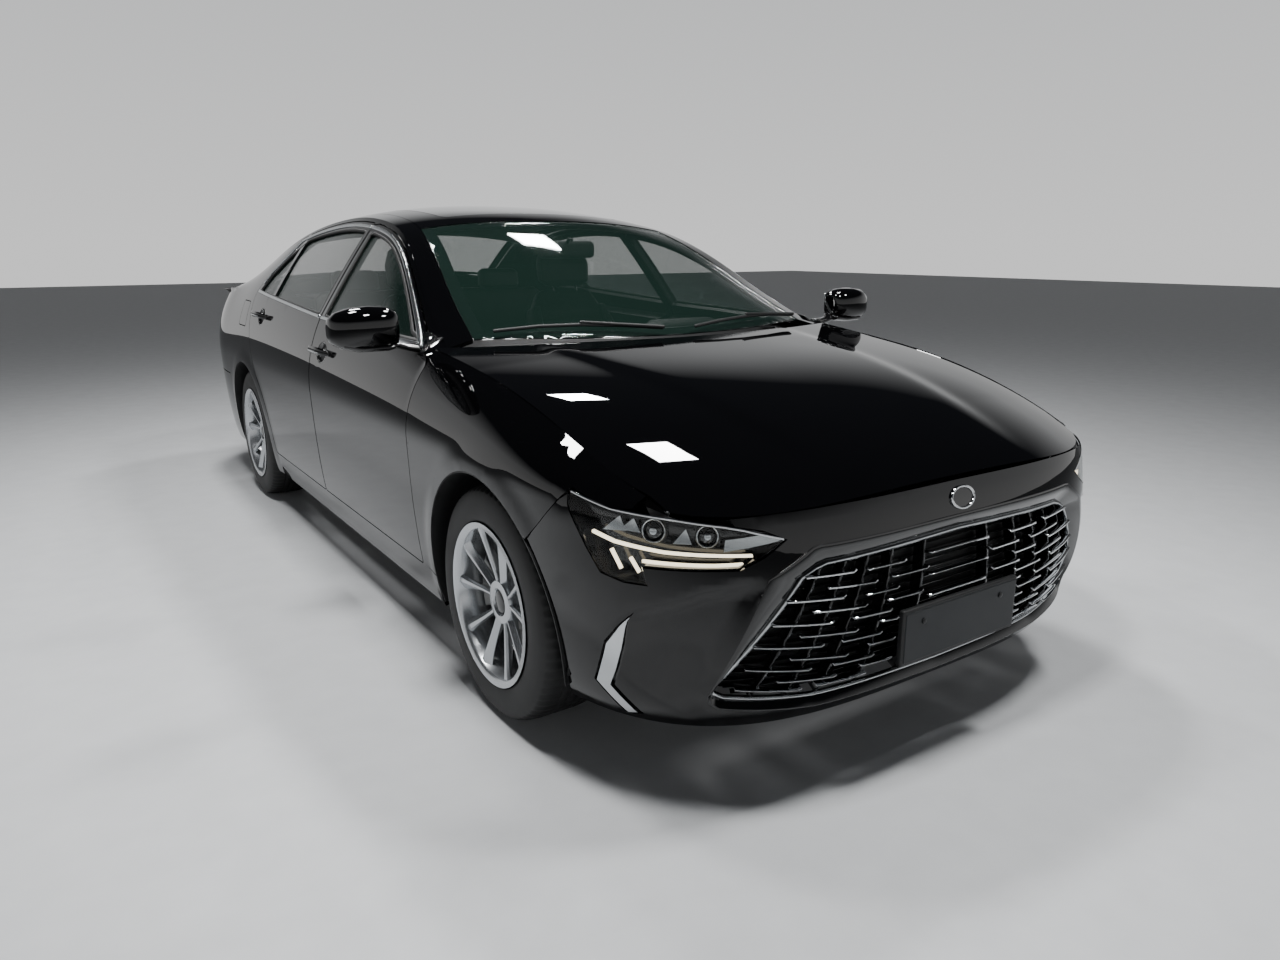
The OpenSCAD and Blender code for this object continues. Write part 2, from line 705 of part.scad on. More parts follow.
module across(x0, x1) {
  translate([lx(x0), 0, 0])
    rotate([90, 0, 90])
      linear_extrude(lx(x1) - lx(x0))
        polygon([for (p = $shape) [ly(p[0]), lz(p[1])]]);
}
module at_column() {
  translate([lx(370), ly(-542), lz(805)])
    rotate([steer_tilt - 90, 0, 0])
      children();
}
module dashboard() {
  color([0.05, 0.05, 0.055]) {
    let ($shape = [[-1030, 870], [-900, 955], [-760, 965], [-640, 930], [-600, 870], [-620, 780],
        [-700, 660], [-760, 560], [-1030, 560]])
      across(-690, 690);
    let ($shape = [[-760, 320], [-760, 558], [-700, 600], [-560, 560], [-300, 520], [20, 520],
        [20, 320]])
      across(-110, 110);
    // steering column
    at_column()
      translate([0, 0, -180])
        cylinder(r = 34, h = 150);
  }
}
module front_seats() {
  color([0.07, 0.065, 0.06])
    for (s = [-1, 1]) {
      x = s * 370;
      let ($shape = [[-470, 330], [-480, 440], [-440, 500], [-300, 500], [20, 455], [60, 400],
          [60, 330]])
        across(x - 245, x + 245);
      let ($shape = [[-60, 500], [60, 462], [150, 520], [300, 1010], [290, 1090], [210, 1100],
          [165, 1060], [20, 620]])
        across(x - 240, x + 240);
      let ($shape = [[215, 1125], [300, 1120], [330, 1190], [315, 1260], [250, 1270], [222, 1230]])
        across(x - 130, x + 130);
      for (k = [-1, 1])
        translate([lx(x) + k * 60, ly(262), lz(1090)])
          rotate([-12, 0, 0])
            cylinder(r = 7, h = 60, $fn = 12);
      translate([lx(x - 200), ly(-420), lz(195) + 22])
        cube([lx(400), ly(0) - ly(-420), lz(330) - lz(195) - 22]);
    }
}
module rear_seat() {
  color([0.07, 0.065, 0.06]) {
    let ($shape = [[500, 400], [500, 480], [540, 520], [900, 480], [960, 420], [960, 400]])
      across(-640, 640);
    let ($shape = [[860, 500], [960, 486], [1000, 500], [1100, 940], [1095, 1010], [1040, 1030],
        [990, 990], [880, 600]])
      across(-540, 540);
    for (x = [-370, 0, 370])
      let ($shape = [[1040, 1034], [1100, 1034], [1120, 1130], [1090, 1150], [1050, 1140]])
        across(x - 120, x + 120);
    for (s = [0, 1])
      mirror([s, 0, 0])
        translate([lx(130), ly(540), lz(195) + 22])
          cube([lx(470), ly(880) - ly(540), lz(400) - lz(195) - 22]);
  }
}

// Parts of a wheel, about the axle, outer face towards +X
module tyre() {
  h = tyre_w / 2;
  color([0.03, 0.03, 0.03])
    rotate([0, 90, 0])
      rotate_extrude($fn = 96)
        polygon([[rim_r - 14, -h + 14], [rim_r + 4, -h + 4], [rim_r + 34, -h],
          [tyre_r - 40, -h + 2], [tyre_r - 14, -h + 12], [tyre_r - 3, -h + 30], [tyre_r, -h + 54],
          [tyre_r, h - 54], [tyre_r - 3, h - 30], [tyre_r - 14, h - 12], [tyre_r - 40, h - 2],
          [rim_r + 34, h], [rim_r + 4, h - 4], [rim_r - 14, h - 14]]);
}
module rim() {
  h = tyre_w / 2;
  color([0.7, 0.71, 0.72])
    rotate([0, 90, 0]) {
      rotate_extrude($fn = 72)
        polygon([[rim_r - 14.5, -h + 10], [rim_r, -h + 4], [rim_r, -h - 0], [rim_r - 30, -h + 6],
          [rim_r - 34, h - 20], [rim_r - 14, h + 1], [rim_r, h + 1], [rim_r, h - 5],
          [rim_r - 14.5, h - 14]]);
      translate([0, 0, h - 76])
        cylinder(r = 66, h = 44);
      for (i = [0:spokes - 1])
        rotate([0, 0, i * 360 / spokes])
          translate([0, 0, 0])
            rotate([90, 0, 0])
              translate([0, 0, -11])
                linear_extrude(22)
                  polygon([[60, h - 70], [60, h - 36], [130, h - 26], [rim_r - 30, h - 10],
                    [rim_r - 30, h - 34]]);
      translate([0, 0, h - 108])
        difference() {
          cylinder(r = disc_r, h = 24);
          translate([0, 0, -1])
            cylinder(r = 28, h = 40);
        }
      translate([0, 0, h - 84])
        cylinder(r = 40, h = 8);
    }
}
module at_wheel(front, left) {
  translate([left ? wheel_x : -wheel_x, front ? front_y : rear_y, axle_z])
    mirror([left ? 0 : 1, 0, 0])
      children();
}
module knuckle() {
  color([0.2, 0.2, 0.2])
    translate([king_x, front_y, axle_z]) {
      translate([-52, -42, -112])
        cube([36, 84, 210]);
      translate([-52, -30, -112])
        cube([78, 60, 16]);
      translate([-16, 0, 0])
        rotate([0, 90, 0])
          cylinder(r = 24, h = 24);
    }
}

module hood() {
  corner = -2116;
  back = -1042;
  bs = steps(0, 1, 10);
  as = steps(-1, 1, 18);
  function hx(b) = edge_x(corner + (back - corner) * b) - skin_t - gap - 3;
  function front_at(x) = nose_start - (nose_start - curve(nose_tip, 744)) *
    pow(1 - pow(min(abs(x) / curve(nose_half, 744), 1), nose_power), 1 / nose_power) + lead_gap;
  function back_at(k) = curve([[0, -1222], [0.5, -1178], [0.9, -1062], [1, back]], abs(k));
  function at(k, b, d) = let (x = k * (hx(b) - min(d, 3)), f = abs(k) > 0.99 ? corner : front_at(k * hx(0)),
      y = f + (back_at(k) - f) * b + (b < 0.01 ? min(d, 4) : 0)) [x, y, hood_z(x, y) - d];
  color(paint)
    to_mesh() {
      sheet([for (k = as) [for (b = bs) at(k, b, 0)]], [for (k = as) [for (b = bs) at(k, b, 10)]]);
      // inner frame
      difference() {
        sheet([for (k = steps(-0.92, 0.92, 10)) [for (b = steps(0.06, 0.96, 6)) at(k, b, 5)]],
          [for (k = steps(-0.92, 0.92, 10)) [for (b = steps(0.06, 0.96, 6)) at(k, b, 26)]]);
        top_cut([[-560, -2120], [-60, -2220], [-60, -1330], [-600, -1280]]);
        top_cut([[560, -2120], [60, -2220], [60, -1330], [600, -1280]]);
      }
    }
}
module boot_lid() {
  w = 600 - gap / 2 + 3;
  front = 1804;
  xs = steps(-1, 1, 16);
  function lip(x) = tail_start + (2362 - tail_start) *
    pow(1 - pow(abs(x) / 905, tail_power), 1 / tail_power);
  function front_at(x) = front - 28 * pow(x / 600, 2);
  function back_y(x, z) = tail_start + (curve(tail_tip, z) - tail_start) *
    pow(1 - pow(abs(x) / flank(2200, z), tail_power), 1 / tail_power);
  zs = [660, 680, 684, 760, 838, 842, 900, 980, 1040, 1072];
  fs = [0, 0.15, 0.3, 0.425, 0.432, 0.55, 0.7, 0.85, 1];
  ks = concat([for (i = [8:-1:1]) -fs[i]], fs);
  function top(x, t, d) = let (y = front_at(x) + (lip(x) - front_at(x)) * t)
    [x, y, deck_z(x, y) - d];
  function face(x, z, d) = let (y = back_y(x, z), held = abs(lx(x)) < plate_w / 2 + 38
    && abs(lz(z) - lz(761)) < plate_h / 2 + 9)
    [x, (held ? min(y, plate_y) : y) - d, z];
  color(paint)
    to_mesh() {
      sheet([for (k = xs) [for (t = steps(0, 1, 8)) top(k * w, t, 0)]],
        [for (k = xs) [for (t = steps(0, 1, 8)) top(k * w, t, 16)]]);
      sheet([for (k = ks) [for (z = zs) face(-k * w, z, 0)]],
        [for (k = ks) [for (z = zs) face(-k * w, z, 22)]]);
    }
}
module rear_plate() {
  color([0.2, 0.21, 0.22])
    translate([0, ly(plate_y), lz(761)])
      difference() {
        translate([-plate_w / 2, 0.5, -plate_h / 2])
          cube([plate_w, 8, plate_h]);
        plate_holes();
      }
}
module fuel_flap() {
  color(paint)
    to_mesh()
      intersection() {
        flank_sheet(1215, 1418, 6, [0.6, 0.7, 0.8, 0.9, 1], 290, 0, 6);
        side_cut(flap_outline, -gap / 2 + 0.5);
      }
}
module mirror_body() {
  color(paint)
    to_mesh() {
      hull() {
        for (p = [[-975, -1060, 1010], [-1075, -1040, 1022], [-1082, -1012, 1040],
            [-960, -1030, 1095], [-1070, -1020, 1090]])
          translate([lx(p[0]), ly(p[1]), lz(p[2])])
            sphere(r = 20, $fn = 16);
        for (p = [[-955, -985, 1000], [-1085, -985, 1012], [-955, -985, 1105], [-1080, -985, 1108]])
          translate([lx(p[0]), ly(p[1]), lz(p[2])])
            sphere(r = 14, $fn = 12);
      }
      hull() {
        translate([lx(-975), ly(-1015), lz(1005)])
          sphere(r = 18, $fn = 12);
        translate([lx(-880), ly(-985), lz(975)])
          sphere(r = 18, $fn = 12);
      }
    }
}
module steering_wheel() {
  color([0.04, 0.04, 0.04])
    at_column() {
          rotate_extrude($fn = 64)
            translate([steer_r - 15, 0])
              circle(r = 15, $fn = 20);
          translate([0, 0, -16])
            cylinder(r = 58, h = 30);
          for (a = [0, 180, 270])
            rotate([0, 0, a])
              translate([50, -16, -8])
                cube([steer_r - 60, 32, 12]);
        }
}

floor_pan();
body_side_left();
body_side_right();
roof_panel();
sunroof_glass();
windshield();
rear_window();
front_fenders();
front_bumper();
rear_bumper();
grille();
headlights();
tail_lights();
wipers();
cowl_panel();
front_plate();
wheel_liners();
subframes();
engine_block();
exhaust();
dashboard();
front_seats();
rear_seat();
knuckle();  // knuckle_left
mirror([1, 0, 0]) knuckle();  // knuckle_right
at_wheel(true, true) tyre();  // tyre_front_left
at_wheel(true, false) tyre();  // tyre_front_right
at_wheel(false, true) tyre();  // tyre_rear_left
at_wheel(false, false) tyre();  // tyre_rear_right
at_wheel(true, true) rim();  // rim_front_left
at_wheel(true, false) rim();  // rim_front_right
at_wheel(false, true) rim();  // rim_rear_left
at_wheel(false, false) rim();  // rim_rear_right
color(paint) on_left() door_front();  // door_front_left
color(paint) door_front();  // door_front_right
color(paint) on_left() door_rear();  // door_rear_left
color(paint) door_rear();  // door_rear_right
color([0.1, 0.13, 0.12, 0.4]) on_left() door_glass(front_window, -1000, 90, 10);  // glass_front_left
color([0.1, 0.13, 0.12, 0.4]) door_glass(front_window, -1000, 90, 10);  // glass_front_right
color([0.1, 0.13, 0.12, 0.4]) on_left() door_glass(rear_window_cut, 60, 1150, 10);  // glass_rear_left
color([0.1, 0.13, 0.12, 0.4]) door_glass(rear_window_cut, 60, 1150, 10);  // glass_rear_right
on_left() mirror_body();  // mirror_left
mirror_body();  // mirror_right
hood();
boot_lid();
rear_plate();
fuel_flap();
steering_wheel();
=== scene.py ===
"""A four-door sedan car: body skins, glazing, lamps, grille, wheels and cabin on the CAD frame."""

import logging
import math
from dataclasses import dataclass
from enum import Enum
from typing import Callable, Sequence

import bpy
import numpy as np
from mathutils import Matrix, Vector
from mathutils.geometry import delaunay_2d_cdt


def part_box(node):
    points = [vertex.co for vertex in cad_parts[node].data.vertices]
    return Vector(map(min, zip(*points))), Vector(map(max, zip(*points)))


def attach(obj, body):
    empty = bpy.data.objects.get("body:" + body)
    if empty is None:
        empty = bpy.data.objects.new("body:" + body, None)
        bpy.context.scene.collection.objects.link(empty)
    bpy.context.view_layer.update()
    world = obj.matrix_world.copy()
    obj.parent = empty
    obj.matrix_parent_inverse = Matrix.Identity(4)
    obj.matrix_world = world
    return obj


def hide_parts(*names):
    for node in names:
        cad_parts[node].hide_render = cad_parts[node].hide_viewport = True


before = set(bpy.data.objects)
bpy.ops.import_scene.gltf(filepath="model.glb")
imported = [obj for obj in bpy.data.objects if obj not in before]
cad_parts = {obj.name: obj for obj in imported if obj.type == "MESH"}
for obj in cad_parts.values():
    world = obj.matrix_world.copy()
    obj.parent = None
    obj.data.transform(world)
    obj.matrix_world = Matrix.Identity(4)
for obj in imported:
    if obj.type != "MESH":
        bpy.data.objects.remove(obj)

LOG = logging.getLogger("sedan")
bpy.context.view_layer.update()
Points = Sequence[tuple]
Surface = Callable[[np.ndarray], np.ndarray]


class Hand(Enum):
    """Side of the car a piece belongs to; the value is the sign of X."""

    LEFT = 1
    RIGHT = -1


# ------------------------------------------------------------------ shape of the body


class Line:
    """A smooth curve through given points, straight beyond its ends."""

    def __init__(self, *points: tuple) -> None:
        """Solves the natural cubic through the points.

        Args:
            points: (position, value) pairs in rising order of position.
        """
        self.x = np.array([p[0] for p in points], float)
        self.v = np.array([p[1] for p in points], float)
        n, h = len(points), np.diff(self.x)
        a, b = np.eye(n), np.zeros(n)
        for i in range(1, n - 1):
            a[i, i - 1], a[i, i], a[i, i + 1] = h[i - 1], 2 * (h[i - 1] + h[i]), h[i]
            rise = np.diff(self.v)[i] / h[i] - np.diff(self.v)[i - 1] / h[i - 1]
            b[i] = 6 * rise
        self.m = np.linalg.solve(a, b)

    def __call__(self, t: np.ndarray) -> np.ndarray:
        """Value of the curve at t."""
        t = np.asarray(t, float)
        i = np.clip(np.searchsorted(self.x, t) - 1, 0, len(self.x) - 2)
        h = self.x[i + 1] - self.x[i]
        c = np.clip(t, self.x[0], self.x[-1])
        a, b = (self.x[i + 1] - c) / h, (c - self.x[i]) / h
        m0, m1 = self.m[i], self.m[i + 1]
        value = a * self.v[i] + b * self.v[i + 1]
        value = value + ((a**3 - a) * m0 + (b**3 - b) * m1) * h * h / 6
        slope = (self.v[i + 1] - self.v[i]) / h
        slope = slope + ((3 * b * b - 1) * m1 - (3 * a * a - 1) * m0) * h / 6
        return value + slope * (t - c)


@dataclass
class Form:
    """Surfaces of the whole body, in millimetres: +Y to the tail, +Z up, right side at -X."""

    hood_mid: Line = Line((-2345, 724), (-2310, 742), (-2180, 797), (-1960, 866), (-1700, 920),
                          (-1400, 958), (-1215, 978))
    canopy_mid: Line = Line((-1230, 968), (-1185, 988), (-900, 1128), (-600, 1260), (-290, 1374),
                            (0, 1426), (300, 1449), (600, 1441), (900, 1408), (1150, 1356),
                            (1450, 1250), (1800, 1112), (1900, 1075))
    deck_mid: Line = Line((1790, 1114), (1980, 1118), (2160, 1112), (2340, 1092), (2430, 1060))
    shoulder: Line = Line((-2130, 892), (-2000, 858), (-1800, 828), (-1540, 818), (-1200, 820),
                          (-950, 836), (-600, 850), (0, 862), (600, 862), (1000, 856),
                          (1300, 846), (1700, 828), (2000, 835), (2300, 838), (2450, 838))
    belt: Line = Line((-1050, 968), (-600, 980), (0, 998), (500, 1018), (900, 1038), (1200, 1050),
                      (1500, 1054), (1800, 1047), (2000, 1034), (2150, 1027), (2450, 1025))
    rail_half: Line = Line((-1040, 782), (-800, 738), (-500, 668), (-250, 616), (0, 592),
                           (300, 582), (600, 586), (900, 610), (1150, 648), (1400, 694),
                           (1700, 752), (1860, 776))
    rail_z: Line = Line((-1040, 968), (-800, 1074), (-500, 1232), (-250, 1328), (0, 1372),
                        (300, 1390), (600, 1380), (900, 1346), (1150, 1290), (1400, 1206),
                        (1700, 1100), (1860, 1062))
    side_low: Line = Line((150, 862), (220, 884), (300, 900), (420, 914), (560, 924), (720, 931))
    nose_half: Line = Line((150, 835), (200, 868), (260, 890), (340, 905), (450, 918), (560, 926),
                           (650, 930), (720, 928), (760, 910))
    nose_tip: Line = Line((150, -2268), (200, -2312), (260, -2345), (340, -2366), (450, -2378),
                          (560, -2375), (650, -2360), (720, -2338), (760, -2315))
    tail_tip: Line = Line((180, 2358), (300, 2402), (420, 2420), (560, 2424), (700, 2412),
                          (850, 2387), (950, 2369), (1060, 2352))
    widest: float = 931
    wide_z: float = 720
    nose_start: float = -1450
    tail_start: float = 1700
    nose_power: float = 3.6
    tail_power: float = 3.2
    hood_bow: float = 190
    front_axle: float = -1540
    rear_axle: float = 1290
    axle_z: float = 328.5
    arch_r: float = 372.5
    blend_y: float = -1050

    def hood(self, x: np.ndarray, y: np.ndarray) -> np.ndarray:
        """Height of the hood over a point of the plan."""
        return self.hood_mid(y - self.hood_bow * (np.abs(x) / 800) ** 2.6)

    def plan(self, y: np.ndarray, z: np.ndarray) -> np.ndarray:
        """How far the sides draw in at the nose and tail: 1 in the middle of the car."""
        a = np.clip((self.nose_start - y) / (self.nose_start - self.nose_tip(z)), 0, 1)
        b = np.clip((y - self.tail_start) / (self.tail_tip(z) - self.tail_start), 0, 1)
        front = (1 - a**self.nose_power) ** (1 / self.nose_power)
        return front * (1 - b**self.tail_power) ** (1 / self.tail_power)

    def edge_x(self, y: np.ndarray) -> np.ndarray:
        """Half width at the shoulder."""
        y = np.asarray(y, float)
        return self.shoulder(y) * self.plan(y, np.where(y < 0, 750, 1000))

    def edge_z(self, y: np.ndarray) -> np.ndarray:
        """Height of the shoulder."""
        y = np.asarray(y, float)
        low = self.hood(self.edge_x(y), np.minimum(y, self.blend_y))
        return np.where(y < self.blend_y, low, self.belt(y))

    def side(self, y: np.ndarray, z: np.ndarray) -> np.ndarray:
        """Half width of the side, through the window height up to the roof rail."""
        top = self.edge_z(y)
        t = np.clip((z - self.wide_z) / np.maximum(top - self.wide_z, 1), 0, 1)
        high = self.widest - (self.widest - self.shoulder(y)) * t**2.1
        low = self.side_low(np.minimum(z, self.wide_z))
        x = np.where(z < self.wide_z, low, high) * self.plan(y, z)
        for axle in (self.front_axle, self.rear_axle):
            r = np.hypot(y - axle, z - self.axle_z)
            flare = np.clip(1 - (r - self.arch_r) / 75, 0, 1)
            x = x + 7 * flare * flare * (3 - 2 * flare)
        rail = self.rail_z(y)
        k = (z - top) / np.maximum(rail - top, 1)
        k = np.clip(k, 0, 1)
        glass = self.shoulder(y) * (1 - k) + self.rail_half(y) * k + 28 * k * (1 - k)
        return np.where(z > top, np.where(y > -1060, glass, x), x)

    def canopy(self, x: np.ndarray, y: np.ndarray) -> np.ndarray:
        """Height of windshield, roof and rear window."""
        top = self.canopy_mid(y)
        return top - (top - self.rail_z(y)) * (np.abs(x) / self.rail_half(y)) ** 2.4

    def deck(self, x: np.ndarray, y: np.ndarray) -> np.ndarray:
        """Height of the boot deck."""
        top = self.deck_mid(y)
        return top - (top - self.edge_z(y)) * (np.abs(x) / np.maximum(self.edge_x(y), 300)) ** 3


FORM = Form()


def side_surface(hand: Hand) -> Surface:
    """Surface of one side by (y, z)."""
    return lambda p: np.stack([hand.value * FORM.side(p[:, 0], p[:, 1]), p[:, 0], p[:, 1]], 1)


def top_surface(height: Callable[[np.ndarray, np.ndarray], np.ndarray]) -> Surface:
    """Surface seen from above by (x, y)."""
    return lambda p: np.stack([p[:, 0], p[:, 1], height(p[:, 0], p[:, 1])], 1)


# ------------------------------------------------------------------ outlines and skins


def rounded(points: Points, steps: int = 5) -> np.ndarray:
    """Outline with its corners rounded.

    Args:
        points: (u, v) or (u, v, radius) corners in order.
        steps: segments in each round corner.

    Returns:
        The outline as rows of (u, v).
    """
    out = []
    n = len(points)
    for i, corner in enumerate(points):
        p = np.array(corner[:2], float)
        r = corner[2] if len(corner) > 2 else 0
        if r <= 0:
            out.append(p)
            continue
        a = np.array(points[i - 1][:2], float) - p
        b = np.array(points[(i + 1) % n][:2], float) - p
        la, lb = np.linalg.norm(a), np.linalg.norm(b)
        cut = min(r, 0.48 * la, 0.48 * lb)
        p0, p1 = p + a / la * cut, p + b / lb * cut
        for s in np.linspace(0, 1, steps + 1):
            out.append((1 - s) ** 2 * p0 + 2 * s * (1 - s) * p + s * s * p1)
    return np.array(out)


def resample(loop: np.ndarray, step: float) -> np.ndarray:
    """The closed outline with no edge longer than step."""
    out = []
    for a, b in zip(loop, np.roll(loop, -1, 0)):
        n = max(1, int(math.ceil(np.linalg.norm(b - a) / step)))
        out += [a + (b - a) * i / n for i in range(n)]
    return np.array(out)


def inside(points: np.ndarray, loop: np.ndarray) -> np.ndarray:
    """Which points lie inside the closed outline."""
    x, y = points[:, 0][:, None], points[:, 1][:, None]
    x0, y0 = loop[:, 0][None], loop[:, 1][None]
    x1, y1 = np.roll(loop[:, 0], -1)[None], np.roll(loop[:, 1], -1)[None]
    cross = (y0 > y) != (y1 > y)
    with np.errstate(divide="ignore", invalid="ignore"):
        at = (x1 - x0) * (y - y0) / (y1 - y0) + x0
    return (cross & (x < at)).sum(1) % 2 == 1


def offset_loop(loop: np.ndarray, distance: float) -> np.ndarray:
    """Moves a closed outline sideways: inwards for a positive distance."""
    area = 0.5 * np.sum(loop[:, 0] * np.roll(loop[:, 1], -1) - np.roll(loop[:, 0], -1) * loop[:, 1])
    d = np.roll(loop, -1, 0) - loop
    d /= np.maximum(np.linalg.norm(d, axis=1, keepdims=True), 1e-9)
    n = np.stack([-d[:, 1], d[:, 0]], 1) * np.sign(area)
    m = n + np.roll(n, 1, 0)
    m /= np.maximum((m * m).sum(1, keepdims=True), 0.5) / 2
    return loop + m * distance


def deselect() -> None:
    """Clears the selection, so an operator acts only on what is chosen next."""
    bpy.ops.object.select_all(action="DESELECT")


def pick(obj: bpy.types.Object) -> bpy.types.Object:
    """Makes obj the only selected, active object."""
    deselect()
    obj.select_set(True)
    bpy.context.view_layer.objects.active = obj
    return obj


def new_object(name: str, verts: Sequence, faces: Sequence) -> bpy.types.Object:
    """Object from vertices in metres and faces."""
    mesh = bpy.data.meshes.new(name)
    mesh.from_pydata([tuple(v) for v in verts], [], [tuple(f) for f in faces])
    mesh.validate()
    obj = bpy.data.objects.new(name, mesh)
    bpy.context.scene.collection.objects.link(obj)
    return obj


def soften(obj: bpy.types.Object, radius: float, segments: int = 2, angle: float = 40) -> bpy.types.Object:
    """Rounds the hard edges and shades the faces smooth, flat faces keeping their own normals.

    Args:
        obj: the mesh object.
        radius: edge radius in millimetres, none at 0.
        segments: faces across a rounded edge.
        angle: edges sharper than this many degrees are rounded.

    Returns:
        The same object.
    """
    pick(obj)
    if radius > 0:
        m = obj.modifiers.new("edge", "BEVEL")
        m.width, m.segments, m.limit_method = radius * 0.001, segments, "ANGLE"
        m.angle_limit, m.use_clamp_overlap = math.radians(angle), True
        bpy.ops.object.modifier_apply(modifier=m.name)
    bpy.ops.object.shade_smooth()
    m = obj.modifiers.new("weights", "WEIGHTED_NORMAL")
    m.weight, m.keep_sharp = 60, False
    bpy.ops.object.modifier_apply(modifier=m.name)
    return obj


def on_surface(surface: Surface, uv: np.ndarray, outward: Points) -> tuple:
    """Points, outward normals and handedness of a surface.

    Args:
        surface: maps rows of two coordinates to rows of (x, y, z) in millimetres.
        uv: rows of the two coordinates.
        outward: rough outward direction.

    Returns:
        The points, their unit normals, and -1 where the coordinates run the other way round.
    """
    h = 1.5
    du = surface(uv + [h, 0]) - surface(uv - [h, 0])
    dv = surface(uv + [0, h]) - surface(uv - [0, h])
    normal = np.cross(du, dv)
    normal /= np.maximum(np.linalg.norm(normal, axis=1, keepdims=True), 1e-9)
    flip = np.sign((normal * np.asarray(outward, float)).sum(1).mean())
    return surface(uv), normal * flip, flip


def skin(name: str, outline: np.ndarray, surface: Surface, outward: Points, depth: tuple = (0, 12),
         step: float = 22, holes: Sequence[np.ndarray] = (), edge: float = 2.2) -> bpy.types.Object:
    """A curved panel of even thickness cut to an outline.

    Args:
        name: name of the piece.
        outline: closed outline in the surface's own two coordinates.
        surface: maps rows of two coordinates to rows of (x, y, z) in millimetres.
        outward: rough outward direction of the panel.
        depth: how far its outer and inner faces lie under the surface, in millimetres.
        step: mesh size in the outline's units.
        holes: closed outlines cut out of it.
        edge: radius of its edges in millimetres.

    Returns:
        The finished object.
    """
    loops = [resample(np.asarray(l, float), step) for l in (outline, *holes)]
    low, high = loops[0].min(0), loops[0].max(0)
    xs = np.arange(low[0] + step / 2, high[0], step)
    ys = np.arange(low[1] + step / 2, high[1], step * 0.87)
    grid = np.array([(x + (j % 2) * step / 2, y) for j, y in enumerate(ys) for x in xs])
    keep = inside(grid, loops[0])
    for loop in loops[1:]:
        keep &= ~inside(grid, loop)
    rim = np.concatenate(loops)
    grid = grid[keep]
    if len(grid):
        gap = np.min(np.hypot(grid[:, None, 0] - rim[None, :, 0], grid[:, None, 1] - rim[None, :, 1]), 1)
        grid = grid[gap > step * 0.55]
    edges, start = [], 0
    for loop in loops:
        n = len(loop)
        edges += [(start + i, start + (i + 1) % n) for i in range(n)]
        start += n
    pts = np.concatenate([rim, grid]) if len(grid) else rim
    verts, _, faces, *_ = delaunay_2d_cdt([Vector(p) for p in pts], edges, [], 0, 1e-6)
    flat = np.array([tuple(v) for v in verts])
    tris = np.array(faces)
    mid = flat[tris].mean(1)
    keep = inside(mid, loops[0])
    for loop in loops[1:]:
        keep &= ~inside(mid, loop)
    tris = tris[keep]
    base, normal, flip = on_surface(surface, flat, outward)
    outer, inner = base - normal * depth[0], base - normal * depth[1]
    if flip < 0:
        tris = tris[:, ::-1]
    n = len(flat)
    count = {}
    for t in tris:
        for a, b in ((t[0], t[1]), (t[1], t[2]), (t[2], t[0])):
            count[(a, b)] = count.get((a, b), 0) + 1
    walls = [(b, a, a + n, b + n) for (a, b) in count if (b, a) not in count]
    all_faces = [tuple(t) for t in tris] + [tuple(t[::-1] + n) for t in tris] + walls
    used = sorted({i for f in all_faces for i in f})
    where = {v: i for i, v in enumerate(used)}
    both = np.concatenate([outer, inner]) * 0.001
    obj = new_object(name, both[used], [[where[i] for i in f] for f in all_faces])
    return soften(obj, edge)


# ------------------------------------------------------------------ finishes


def linear(code: str) -> tuple:
    """An sRGB hex colour such as "1a2b3c" as linear (r, g, b, 1)."""
    rgb = [int(code[i:i + 2], 16) / 255 for i in (0, 2, 4)]
    return tuple(c / 12.92 if c <= 0.04045 else ((c + 0.055) / 1.055) ** 2.4 for c in rgb) + (1.0,)


def add_node(tree: bpy.types.NodeTree, kind: str, settings: dict | None = None,
             links: dict | None = None) -> bpy.types.Node:
    """Adds a shader node.

    Args:
        tree: the material's node tree.
        kind: the node's type name.
        settings: values by input name, or by attribute name.
        links: sockets to connect by input name.

    Returns:
        The new node.
    """
    node = tree.nodes.new(kind)
    for key, value in (settings or {}).items():
        if key in node.inputs:
            node.inputs[key].default_value = value
        else:
            setattr(node, key, value)
    for key, socket in (links or {}).items():
        tree.links.new(socket, node.inputs[key])
    return node


